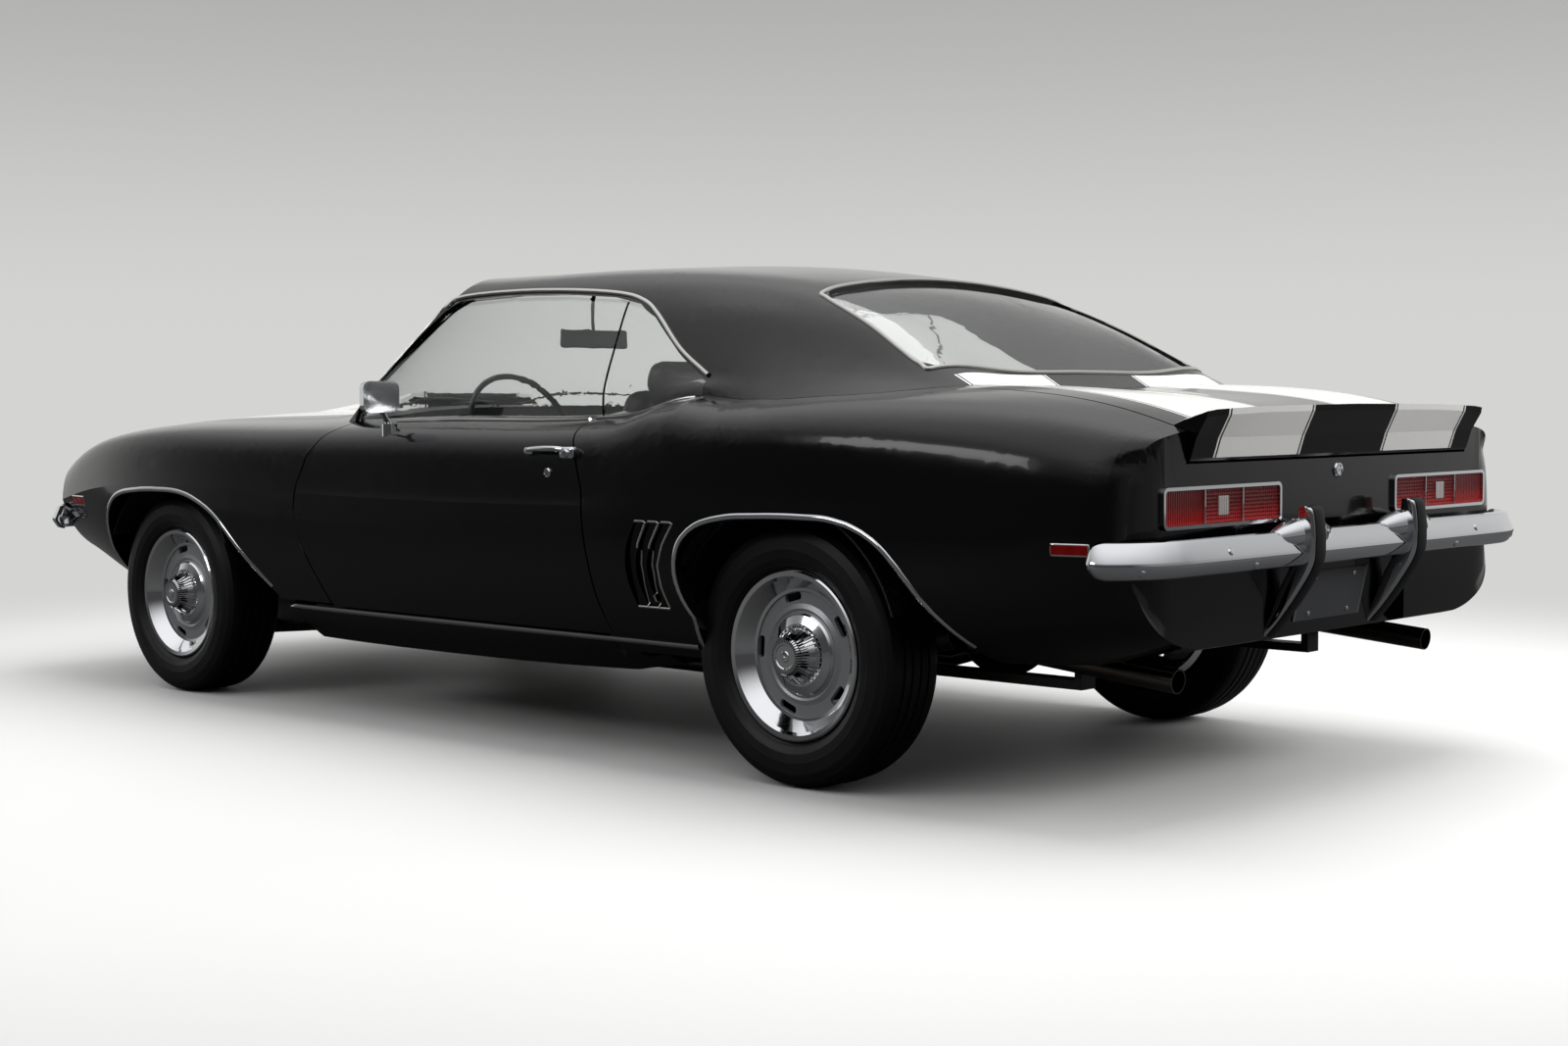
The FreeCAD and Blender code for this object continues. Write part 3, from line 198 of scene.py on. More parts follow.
def shaped(place):
    """Moves a place on the CAD's rear body onto the car's kicked-up hip and rounded tail corners."""
    x, y, z = place
    side = 1 if y > 0 else -1
    y = abs(y)
    outer = eased(y, 0.57, 0.66) * eased(z, 0.74, 0.88)
    if -1.31 < x < -0.60 and outer > 0 and z < 1.25:
        reach = eased(-x, 0.60, 0.80) if x > -0.80 else 1 - eased(-x, 0.80, 1.30)
        reach *= (1 - 0.23 * eased(z, 0.985, 1.06)) * (1 - eased(z, 1.15, 1.25))
        x -= WINDOW_REACH * reach * outer
        z += read_off(HIP_RISE, -x) * (1 - eased(z, 0.92, 1.01)) * outer
    if y > 0.93:
        y -= (y - 0.93) * 0.25 * eased(-x, 0.75, 0.95)
    edge = read_off(TAIL_SIDE, z) + 0.25 * (x - TAIL_X)
    back = 1 - (x - TAIL_X) / TAIL_ROUND_X
    out = 1 - (edge - y) / TAIL_ROUND_Y
    share = eased(z, 0.42, 0.58) * (1 - eased(z, 0.79, 0.86))
    if back > 0 and out > 0 and share > 0:
        if back > out:
            angle = math.pi / 4 * out / back
            back, out = back * math.cos(angle), back * math.sin(angle)
        else:
            angle = math.pi / 4 * back / out
            back, out = out * math.sin(angle), out * math.cos(angle)
        x += (TAIL_X + TAIL_ROUND_X * (1 - back) - x) * share
        y += (edge - TAIL_ROUND_Y * (1 - out) - y) * share
    return Vector((x, side * y, z))


def smooth_path(points, count):
    """Points evenly numbered along a smooth curve through the given ones."""
    ends = [points[0] * 2 - points[1]] + list(points) + [points[-1] * 2 - points[-2]]
    path = []
    spans = len(points) - 1
    for step in range(count + 1):
        place = step / count * spans
        i = min(int(place), spans - 1)
        t = place - i
        a, b, c, d = ends[i:i + 4]
        path.append((b * 2 + (c - a) * t + (a * 2 - b * 5 + c * 4 - d) * t * t
                     + (b * 3 - a - c * 3 + d) * t * t * t) / 2)
    return path


def heading(path, i):
    """The direction of an open path at one of its points."""
    return (path[min(i + 1, len(path) - 1)] - path[max(i - 1, 0)]).normalized()


def on_surface(names, start, direction):
    """Where a ray first meets one of the CAD nodes, with the outward normal there."""
    best = None
    for name in names:
        hit, place, normal, _ = skins[name].ray_cast(Vector(start), Vector(direction))
        if hit and (best is None or (place - Vector(start)).length < (best[0] - Vector(start)).length):
            best = (place, normal)
    if best is None:
        raise RuntimeError("no surface of %s is met from %s" % (names, tuple(start)))
    if best[1].dot(Vector(direction)) > 0:
        best = (best[0], -best[1])
    return best


def left_skin(names, x, z):
    """Where the left side of the pieces lies at a place along the car and a height, with its normal."""
    return on_surface(names, (x, OUTSIDE_Y, z), INWARDS)


def body_at(place, names):
    """The body of the CAD piece that a place lies on."""
    found = min(names, key=lambda name: (skins[name].closest_point_on_mesh(place)[1] - place).length)
    return nodes[found]["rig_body"]


def beyond_edge(name, place, out):
    """The first place outwards from an opening where a ray from the left meets the panel's skin."""
    for step in range(40):
        spot = place + out * (0.001 * step)
        hit, found, _, _ = skins[name].ray_cast(Vector((spot.x, OUTSIDE_Y, spot.z)), Vector(INWARDS))
        if hit and found.y > 0.78:
            return spot
    raise RuntimeError("no edge of %s near %s" % (name, tuple(place)))


def first_met(name, start, direction, inset):
    """Marches rearwards until a ray meets the piece, then goes in from that edge by the inset."""
    for step in range(400):
        spot = Vector(start) - Vector((0.002 * step, 0, 0))
        hit, _, _, _ = skins[name].ray_cast(spot, Vector(direction))
        if hit:
            return on_surface([name], spot - Vector((inset, 0, 0)), direction)
    raise RuntimeError("no edge of %s is met from %s" % (name, tuple(start)))


def laid_grid(name, rows, ring=True, loop=False):
    """A grid primitive whose points are moved onto rows of places, then joined and closed."""
    rows = [list(row) for row in rows]
    if loop:
        rows.append(rows[0])
    if ring:
        rows = [row + row[:1] for row in rows]
    deselect()
    bpy.ops.mesh.primitive_grid_add(x_subdivisions=len(rows) - 1, y_subdivisions=len(rows[0]) - 1, size=2)
    piece = bpy.context.object
    piece.name = name
    for vertex in piece.data.vertices:
        i = round((vertex.co.x + 1) / 2 * (len(rows) - 1))
        j = round((vertex.co.y + 1) / 2 * (len(rows[0]) - 1))
        vertex.co = rows[i][j]
    bpy.ops.object.mode_set(mode="EDIT")
    bpy.ops.mesh.select_all(action="SELECT")
    bpy.ops.mesh.remove_doubles(threshold=1e-5)
    bpy.ops.mesh.select_all(action="SELECT")
    bpy.ops.mesh.fill_holes(sides=0)
    bpy.ops.mesh.select_all(action="SELECT")
    bpy.ops.mesh.normals_make_consistent(inside=False)
    bpy.ops.object.mode_set(mode="OBJECT")
    return piece


def moulding(name, path, half_width, height, loop=False, sink=0.0012):
    """A half-round strip along (place, normal) pairs, sunk a little into what carries it."""
    section = [(-1.0, -sink), (-1.0, height * 0.35), (-0.62, height * 0.86), (0.0, height), (0.62, height * 0.86),
               (1.0, height * 0.35), (1.0, -sink)]
    rows = []
    count = len(path)
    for i, (place, normal) in enumerate(path):
        ahead = path[(i + 1) % count][0] if loop else path[min(i + 1, count - 1)][0]
        behind = path[i - 1][0] if loop else path[max(i - 1, 0)][0]
        side = normal.cross(ahead - behind).normalized()
        rows.append([place + side * (half_width * s) + normal * h for s, h in section])
    return laid_grid(name, rows, True, loop)


def tube(name, points, radius, count=24, around=12):
    """A round bar along a smooth path; radius is a number or one number for each point."""
    path = smooth_path([Vector(p) for p in points], count)
    rows = []
    for i, place in enumerate(path):
        along = heading(path, i)
        guide = Vector((0, 0, 1)) if abs(along.z) < 0.9 else Vector((1, 0, 0))
        side = along.cross(guide).normalized()
        up = side.cross(along)
        size = radius
        if not isinstance(radius, float):
            spot = i / count * (len(radius) - 1)
            low = min(int(spot), len(radius) - 2)
            size = radius[low] + (radius[low + 1] - radius[low]) * (spot - low)
        rows.append([place + (side * math.cos(a) + up * math.sin(a)) * size
                     for a in [k / around * math.tau for k in range(around)]])
    return laid_grid(name, rows)


def turned(name, centre, axis, profile, steps=48):
    """A lathe shape: (radius, height) pairs along the axis, from pole to pole."""
    axis = Vector(axis).normalized()
    guide = Vector((0, 0, 1)) if abs(axis.z) < 0.9 else Vector((1, 0, 0))
    side = axis.cross(guide).normalized()
    up = side.cross(axis)
    rows = []
    for k in range(steps):
        a = k / steps * math.tau
        out = side * math.cos(a) + up * math.sin(a)
        rows.append([Vector(centre) + out * r + axis * h for r, h in profile])
    return laid_grid(name, rows, ring=False, loop=True)


def block(name, low, high, bevel, segments=3):
    """A cube primitive at its size and place with its edges rounded."""
    deselect()
    low = Vector(low)
    high = Vector(high)
    bpy.ops.mesh.primitive_cube_add(size=1, location=(low + high) / 2, scale=high - low)
    piece = bpy.context.object
    piece.name = name
    bpy.ops.object.transform_apply(location=True, rotation=True, scale=True)
    rounding = piece.modifiers.new("rounding", "BEVEL")
    rounding.width = bevel
    rounding.segments = segments
    bpy.ops.object.modifier_apply(modifier="rounding")
    return piece


def inset_top(piece, thickness, depth=0.0, lift=0.0):
    """Insets a block's upper face, and sinks or lifts what lies within."""
    bpy.ops.object.mode_set(mode="EDIT")
    bpy.ops.mesh.select_mode(type="FACE")
    bpy.ops.mesh.select_all(action="DESELECT")
    bpy.ops.object.mode_set(mode="OBJECT")
    for face in piece.data.polygons:
        face.select = face.normal.z > 0.9
    bpy.ops.object.mode_set(mode="EDIT")
    bpy.ops.mesh.inset(thickness=thickness, depth=depth)
    bpy.ops.transform.translate(value=(0, 0, lift))
    bpy.ops.object.mode_set(mode="OBJECT")


def turn_about(piece, centre, axis, degrees):
    """Turns a piece's mesh about a line through a place."""
    spin = Matrix.Rotation(math.radians(degrees), 4, Vector(axis))
    piece.data.transform(Matrix.Translation(centre) @ spin @ Matrix.Translation(-Vector(centre)))


def joined(pieces, name):
    """One piece from several, under a new name."""
    deselect()
    for piece in pieces:
        piece.select_set(True)
    bpy.context.view_layer.objects.active = pieces[0]
    bpy.ops.object.join()
    piece = bpy.context.object
    piece.name = name
    return piece


def mirrored_copy(piece, name):
    """The same piece on the car's other side, with its own mesh."""
    copy = piece.copy()
    copy.data = piece.data.copy()
    copy.name = name
    bpy.context.scene.collection.objects.link(copy)
    copy.data.transform(Matrix.Scale(-1, 4, (0, 1, 0)))
    pick(copy)
    bpy.ops.object.mode_set(mode="EDIT")
    bpy.ops.mesh.select_all(action="SELECT")
    bpy.ops.mesh.flip_normals()
    bpy.ops.object.mode_set(mode="OBJECT")
    return copy


def finish(piece, body, material, slot, angle=35.0):
    """Gives a finished piece its material, its smoothness and the body that it moves with."""
    pick(piece)
    bpy.ops.object.shade_smooth_by_angle(angle=math.radians(angle))
    piece.data.materials.clear()
    piece.data.materials.append(MATERIALS[material])
    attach(piece, body)
    deselect()
    return piece


def on_both_sides(piece, name, bodies, material, slot, angle=35.0):
    """Finishes a left piece and its copy on the right."""
    piece.name = name + "_left"
    copy = mirrored_copy(piece, name + "_right")
    finish(piece, bodies[0], material, slot, angle)
    finish(copy, bodies[1], material, slot, angle)


# ---- Materials

MATERIALS = {}
# Short names of the shader's sockets
SOCKETS = {
    "base": "Base Color", "rough": "Roughness", "metal": "Metallic", "specular": "Specular IOR Level",
    "coat": "Coat Weight", "coat_rough": "Coat Roughness", "sheen": "Sheen Weight",
    "through": "Transmission Weight", "ior": "IOR", "normal": "Normal",
}
BLACK = "#030304"
GLOSS = 0.16
# Places that the patterns follow: radii on wheel and tyre, then planes and bands on the body
WHEEL_DISC = (0.101, 0.1545)
# The band of the cap that carries the painted shade lines of its ribs comes next
CAP_RIBS = (0.034, 0.054)
TYRE_RINGS = (0.222, 0.292)
TREAD_RADIUS = 0.3
STRIPE_LOWEST_Z = 0.73
STRIPE_FRONT_X = 0.4
STRIPE_MIDDLE_Y = 0.37
GRILLE_FACE_X = 2.1735
PLATE_RIM_Y = 0.146
DOOR_CARD_Y = 0.7262
DOOR_PLEATS_Z = (0.42, 0.66)
CARPET_Y = 0.8
LINING_Y = 0.6
COWL_SLOTS_X = (0.905, 0.945)
COWL_SLOTS_Y = 0.55
MIRROR_GLASS = {"x": 0.3184, "y": 0.102, "z": (1.112, 1.153)}
# Distances from one rib to the next in lenses and mouldings
RED_PITCH = 0.0085
CLEAR_PITCH = 0.0075
LAMP_PITCH = 0.012
RING_PITCH = 0.0115
PLEAT_PITCH = 0.06
SLOT_PITCH = 0.022
FIN_PITCH = 0.009
# Numbers round a full turn
CAP_RIB_COUNT = 44.0
SIPE_COUNT = 96.0
ENAMEL = {"base": BLACK, "rough": GLOSS, "specular": 0.3, "coat": 0.35, "coat_rough": 0.03}


def linear(hex_colour):
    """An sRGB hex colour as the linear values that a shader socket takes."""
    values = []
    for i in (1, 3, 5):
        c = int(hex_colour[i:i + 2], 16) / 255
        values.append(c / 12.92 if c <= 0.04045 else ((c + 0.055) / 1.055) ** 2.4)
    return (*values, 1.0)


def add_node(tree, kind, links=None, **settings):
    """Adds a node with its settings; a link is a socket, a hex colour or a plain value."""
    made = tree.nodes.new("ShaderNode" + kind)
    for key, value in settings.items():
        setattr(made, key, value)
    for key, value in (links or {}).items():
        if isinstance(value, bpy.types.NodeSocket):
            tree.links.new(value, made.inputs[key])
        else:
            made.inputs[key].default_value = linear(value) if isinstance(value, str) else value
    return made


class Pattern:
    """Short ways to build a pattern in a node tree; places are in metres on the car's own axes."""

    def __init__(self, tree, coordinates):
        self.tree = tree
        self.texture = self.add("TexCoord")
        self.where = self.texture.outputs[coordinates]
        self.x, self.y, self.z = self.add("SeparateXYZ", {0: self.where}).outputs

    def add(self, kind, links=None, **settings):
        return add_node(self.tree, kind, links, **settings)

    def calc(self, operation, *values):
        return self.add("Math", dict(enumerate(values)), operation=operation).outputs[0]

    def over(self, value, limit):
        return self.calc("GREATER_THAN", value, limit)

    def under(self, value, limit):
        return self.calc("LESS_THAN", value, limit)

    def both(self, *masks):
        """Where every mask is 1."""
        made = masks[0]
        for mask in masks[1:]:
            made = self.calc("MULTIPLY", made, mask)
        return made

    def between(self, value, low, high):
        return self.both(self.over(value, low), self.under(value, high))

    def across(self):
        """Distance from the car's middle plane."""
        return self.calc("ABSOLUTE", self.y)

    def waves(self, value, pitch):
        """-1 to 1 and back, once in each pitch."""
        return self.calc("SINE", self.calc("MULTIPLY", value, math.tau / pitch))

    def remap(self, value, low, high, start=0.0, end=1.0, kind="LINEAR"):
        """Low where the value is at its start, high where it is at its end."""
        return self.add("MapRange", {0: value, 1: start, 2: end, 3: low, 4: high}, interpolation_type=kind).outputs[0]

    def blend(self, share, plain, other):
        """The first colour where the share is 0, the other where it is 1."""
        return self.add("Mix", {0: share, 6: plain, 7: other}, data_type="RGBA").outputs[2]

    def noise(self, scale, detail=2.0):
        return self.add("TexNoise", {"Vector": self.where, "Scale": scale, "Detail": detail}).outputs["Fac"]

    def cells(self, scale, output="Distance", spread=1.0, **settings):
        return self.add("TexVoronoi", {"Vector": self.where, "Scale": scale, "Randomness": spread},
                        **settings).outputs[output]

    def length(self, one, other):
        flat = self.add("CombineXYZ", {0: one, 1: other})
        return self.add("VectorMath", {0: flat.outputs[0]}, operation="LENGTH").outputs["Value"]

    def toward(self, direction):
        """How nearly a direction of the world is the given one."""
        return self.add("VectorMath", {0: self.where, 1: direction}, operation="DOT_PRODUCT").outputs["Value"]


class Look(Pattern):
    """One material: a shader that starts from plain values and takes patterns on Object coordinates."""

    def __init__(self, name, **starts):
        material = bpy.data.materials.new(name)
        material.use_nodes = True
        MATERIALS[name] = material
        super().__init__(material.node_tree, "Object")
        self.shader = self.tree.nodes["Principled BSDF"]
        for key, value in starts.items():
            self.shader.inputs[SOCKETS[key]].default_value = linear(value) if isinstance(value, str) else value

    def wire(self, **patterns):
        for key, pattern in patterns.items():
            self.tree.links.new(pattern, self.shader.inputs[SOCKETS[key]])

    def bump(self, height, depth, strength, **settings):
        made = self.add("Bump", {"Strength": strength, "Distance": depth, "Height": height}, **settings)
        self.wire(normal=made.outputs["Normal"])

    def grain(self, size_mm, depth_mm, strength, detail=2.0):
        """A noise bump whose bumps are size_mm apart."""
        noise = self.noise(1000.0 / size_mm, detail)
        self.bump(noise, depth_mm / 1000.0, strength)
        return noise

    def facing(self):
        """The surface's direction on the car's own axes."""
        return self.add("SeparateXYZ", {0: self.texture.outputs["Normal"]}).outputs

    def round_axle(self):
        """Radius from the nearer axle line and the angle round it, the same for all four wheels."""
        axle = self.calc("MULTIPLY_ADD", self.over(self.x, 0.0), FRONT_AXLE_X - REAR_AXLE_X, REAR_AXLE_X)
        dx = self.calc("SUBTRACT", self.x, axle)
        dz = self.calc("SUBTRACT", self.z, HUB_Z)
        return self.length(dx, dz), self.calc("ARCTAN2", dz, dx)

    def stripes(self, settings):
        """1 where the two broad stripes and their pinstripes run, and the distance from the middle."""
        across = self.across()
        inner, outer, line = settings.stripe_inner, settings.stripe_outer, settings.pin_line
        pins = self.calc("ADD", self.between(across, inner - 2 * line, inner - line),
                         self.between(across, outer + line, outer + 2 * line))
        return self.calc("ADD", self.between(across, inner, outer), pins), across

    def mix_with(self, share, other):
        """Shows another shader in place of this one, by a share."""
        made = self.add("MixShader", {0: share, 1: self.shader.outputs[0], 2: other.outputs[0]})
        self.tree.links.new(made.outputs[0], self.tree.nodes["Material Output"].inputs["Surface"])


def make_paints(settings):
    # Acrylic enamel, sprayed and polished: deep, wet gloss with a trace of orange peel
    look = Look("black_enamel", **ENAMEL)
    look.grain(5.0, 0.02, 0.12)

    # The same enamel with the sprayed white stripes, which end in a curve under the rear window
    # and do not run on under the lids
    look = Look("striped_enamel", **ENAMEL)
    mask, across = look.stripes(settings)
    curve = look.calc("POWER", look.calc("ABSOLUTE", look.calc("SUBTRACT", across, STRIPE_MIDDLE_Y)), 4.0)
    reach = look.calc("ADD", look.x, look.calc("MULTIPLY_ADD", curve, 52.0, settings.stripe_start))
    along = look.calc("MAXIMUM", look.under(reach, 0.0), look.over(look.x, STRIPE_FRONT_X))
    mask = look.both(mask, along, look.over(look.z, STRIPE_LOWEST_Z), look.over(look.facing()["Z"], -0.5))
    white = look.blend(look.noise(3.0), "#E4E3DF", "#EAE9E6")
    look.wire(base=look.blend(mask, BLACK, white))
    look.grain(5.0, 0.02, 0.12)

    # Satin black enamel of hidden panels, brushed on thicker and left dull
    look = Look("satin_black", base="#101011")
    look.wire(rough=look.remap(look.grain(9.0, 0.15, 0.4), 0.42, 0.6))

    # Engine enamel: warm orange over cast iron, whose sand-cast grain shows through
    look = Look("engine_enamel", rough=0.34, coat=0.3)
    look.wire(base=look.blend(look.grain(4.0, 0.25, 0.5, 3.0), "#A93512", "#CF4A1E"))

    # Speckled trunk paint: black lacquer with fine grey drops
    look = Look("speckle_paint", rough=0.45)
    look.wire(base=look.blend(look.under(look.cells(160.0), 0.22), "#0E0E0F", "#5E6468"))


def make_metals():
    # Chromium plate on steel: a mirror with faint polishing haze
    look = Look("chromium_plate", base="#E3E5E8", metal=1.0)
    look.wire(rough=look.remap(look.noise(60.0, 4.0), 0.035, 0.075))

    # Polished stainless strip: a little softer and warmer than chromium
    look = Look("bright_stainless", base="#D9D8D4", metal=1.0)
    look.wire(rough=look.remap(look.noise(90.0), 0.16, 0.17))

    # Road wheel: polished trim ring, silver-painted steel disc and a chromium cap whose ribs are drawn as near-black
    # lines of painted shade
    look = Look("wheel_metal")
    radius, angle = look.round_axle()
    disc = look.between(radius, *WHEEL_DISC)
    # Painted shade: near-black radial lines on the cap stand in for the shade between its ribs
    ribs = look.over(look.calc("SINE", look.calc("MULTIPLY", angle, CAP_RIB_COUNT)), 0.1)
    ribs = look.both(ribs, look.between(radius, *CAP_RIBS))
    look.wire(base=look.blend(ribs, look.blend(disc, "#EDEEF0", "#A4A6A9"), "#0A0A0B"),
              rough=look.remap(disc, 0.07, 0.32), metal=look.remap(disc, 1.0, 0.45))
    look.grain(2.5, 0.03, 0.15)

    # Forged and rolled steel, oiled dark
    look = Look("dark_steel", base="#3B3A39", metal=0.8)
    look.wire(rough=look.remap(look.grain(7.0, 0.1, 0.3, 4.0), 0.38, 0.65))

    # Cast aluminium: pale, matt, sandy
    look = Look("cast_aluminium", base="#8F9193", metal=0.9, rough=0.5)
    look.grain(2.0, 0.1, 0.5, 3.0)

    # Steel exhaust tube, browned by heat in patches
    look = Look("drawn_steel", metal=1.0, rough=0.22)
    look.wire(base=look.blend(look.noise(9.0, 3.0), "#6E6A64", "#463F37"))

    # Galvanised sheet of the tank: grey zinc spangle
    look = Look("zinc_sheet", metal=0.9, rough=0.42)
    look.wire(base=look.blend(look.cells(60.0, "Color"), "#6E7173", "#85888A"))


def make_lenses():
    # Soda-lime window glass, all but clear, with thin ground edges that most of the light passes
    look = Look("window_glass", base="#FBFDFC", through=1.0, ior=1.5)
    look.wire(rough=look.remap(look.noise(4.0, 3.0), 0.0, 0.012))
    edge = look.over(look.calc("ABSOLUTE", look.facing()["X"]), 0.85)
    look.mix_with(look.calc("MULTIPLY", edge, 0.8), look.add("BsdfTransparent"))

    # Moulded red acrylic: upright ribs outside, a fine grid inside, painted shade in their hollows, and a painted glow
    # that makes it brighter low down
    look = Look("red_acrylic", rough=0.25, specular=0.2, coat=0.1, coat_rough=0.03)
    across = look.across()
    rows = look.both(look.waves(look.z, RED_PITCH), look.under(across, 0.58))
    relief = look.calc("ADD", look.waves(across, RED_PITCH), rows)
    # Painted shade: the red darkens to near black in the hollows of the ribs and the grid
    red = look.blend(look.remap(relief, 0.15, 1.0, -2.0, 2.0), "#1C0102", "#6A0709")
    # Painted glow: a brighter red is mixed in over the lowest part of the lens
    look.wire(base=look.blend(look.remap(look.z, 0.55, 0.0, 0.664, 0.705), red, "#B40D0D"))
    look.bump(relief, 0.0012, 0.6)

    # Clear ribbed acrylic over a white bulb housing, with painted shade and painted highlight in stripes across the
    # ribs
    look = Look("clear_acrylic", rough=0.18, coat=0.6)
    ribs = look.waves(look.y, CLEAR_PITCH)
    # Painted shade and painted highlight: the colour runs from grey to pale across each rib, in step with its bump
    look.wire(base=look.blend(look.remap(ribs, 0.0, 1.0, -1.0, 1.0), "#6E6664", "#B9B2AF"))
    look.bump(ribs, 0.001, 0.5)

    # Sealed-beam lamp: fluted glass over a silvered bowl
    look = Look("fluted_lamp", base="#D7DBDF", metal=0.75, rough=0.16, coat=1.0, coat_rough=0.02)
    look.bump(look.calc("ABSOLUTE", look.waves(look.y, LAMP_PITCH)), 0.002, 0.8)


def make_soft_finishes():
    # Tyre rubber: matt black, moulded rings on its walls and sipes across its tread
    look = Look("tyre_rubber", rough=0.42, specular=0.3)
    radius, angle = look.round_axle()
    rings = look.both(look.over(look.waves(radius, RING_PITCH), 0.82), look.between(radius, *TYRE_RINGS))
    slant = look.calc("MULTIPLY_ADD", look.y, 3.2, angle)
    sipes = look.under(look.calc("SINE", look.calc("MULTIPLY", slant, SIPE_COUNT)), -0.75)
    sipes = look.both(sipes, look.over(radius, TREAD_RADIUS))
    look.bump(look.calc("MULTIPLY_ADD", look.noise(500.0), 0.12, look.calc("SUBTRACT", rings, sipes)), 0.0015, 0.7)
    look.wire(base=look.blend(look.noise(12.0, 3.0), "#09090A", "#1B1B1C"))

    # Soft rubber of strips, hoses and the lever's boot
    look = Look("black_rubber", base="#0D0D0E", rough=0.58)
    look.grain(1.5, 0.05, 0.3)

    # Seat vinyl: calendered black, fine hide grain and a soft satin sheen
    look = Look("seat_vinyl", base="#0E0E10", sheen=0.08)
    hide = look.cells(420.0, feature="DISTANCE_TO_EDGE")
    look.bump(look.remap(hide, 0.0, 1.0, 0.0, 0.12), 0.0003, 0.35)
    look.wire(rough=look.remap(look.noise(7.0), 0.34, 0.5))

    # Moulded ABS of the dash, the wheel and the knob, with leather grain
    look = Look("grained_abs", base="#0F0F11", rough=0.48)
    look.grain(2.2, 0.12, 0.45, 4.0)

    # Black egg-crate plastic with silver paint on its front edges
    look = Look("grille_abs", rough=0.4)
    look.wire(base=look.blend(look.over(look.x, GRILLE_FACE_X), "#0C0C0D", "#8D9093"))
    look.grain(2.0, 0.04, 0.2)

    # Number plate: painted sheet with a paler rim, left blank
    look = Look("plate_paint", rough=0.35)
    look.wire(base=look.blend(look.over(look.across(), PLATE_RIM_Y), "#3A3B3D", "#55575A"))
    look.grain(3.0, 0.03, 0.2)

    # Gauge faces: matt black print
    look = Look("gauge_face", base="#0A0A0B", rough=0.6)
    look.grain(1.0, 0.01, 0.2)

    # White enamel of the ticks and needles
    look = Look("white_print", base="#DDDCD6", rough=0.5)
    look.grain(1.0, 0.01, 0.1)


def make_split_finishes(settings):
    """Finishes of CAD pieces that change from place to place."""
    # Roof: enamel outside, dark perforated headliner inside, stripes only behind the rear window
    look = Look("roof_enamel", **ENAMEL)
    up = look.facing()["Z"]
    mask, across = look.stripes(settings)
    mask = look.both(mask, look.under(look.x, -settings.stripe_start), look.over(up, 0.3))
    lined = look.both(look.under(up, -0.45), look.under(across, LINING_Y))
    cloth = look.blend(look.under(look.cells(130.0, spread=0.0), 0.16), "#151517", "#050505")
    look.wire(base=look.blend(lined, look.blend(mask, BLACK, "#E6E5E1"), cloth), rough=look.remap(lined, GLOSS, 0.8))

    # Doors: enamel outside and on the edges, vinyl card with upright pleats inside
    look = Look("door_enamel", **ENAMEL)
    lined = look.under(look.across(), DOOR_CARD_Y)
    look.wire(base=look.blend(lined, BLACK, "#101012"), rough=look.remap(lined, GLOSS, 0.45))
    pleats = look.calc("ABSOLUTE", look.waves(look.x, PLEAT_PITCH))
    look.bump(look.both(pleats, look.between(look.z, *DOOR_PLEATS_Z), lined), 0.004, 1.0)

    # Floor: enamel on the rockers and looped carpet between them
    look = Look("floor_finish", **ENAMEL)
    inner = look.under(look.across(), CARPET_Y)
    pile = look.noise(280.0)
    look.wire(base=look.blend(inner, BLACK, look.blend(pile, "#060606", "#171718")),
              rough=look.remap(inner, GLOSS, 0.9))
    look.bump(look.both(pile, inner), 0.001, 0.8)

    # Cowl: enamel with a bowed row of dark intake slots
    look = Look("cowl_enamel", **ENAMEL)
    across = look.across()
    line = look.calc("MULTIPLY_ADD", look.calc("POWER", across, 2.0), 0.49, look.x)
    slots = look.both(look.between(line, *COWL_SLOTS_X), look.over(look.waves(look.y, SLOT_PITCH), 0.1),
                      look.under(across, COWL_SLOTS_Y))
    look.bump(slots, 0.003, 1.0, invert=True)
    look.wire(rough=look.remap(slots, GLOSS, 0.9))

    # Cabin mirror: black shell with the silvered glass on its rear face
    look = Look("mirror_shell")
    glass = look.both(look.under(look.x, MIRROR_GLASS["x"]), look.under(look.across(), MIRROR_GLASS["y"]),
                      look.between(look.z, *MIRROR_GLASS["z"]))
    look.wire(base=look.blend(glass, "#0B0B0C", "#5A5D60"), metal=glass, rough=look.remap(glass, 0.4, 0.03))

    # Radiator: black core with fine upright fins
    look = Look("finned_core", base="#141415", metal=0.5, rough=0.5)
    look.bump(look.waves(look.y, FIN_PITCH), 0.002, 1.0)


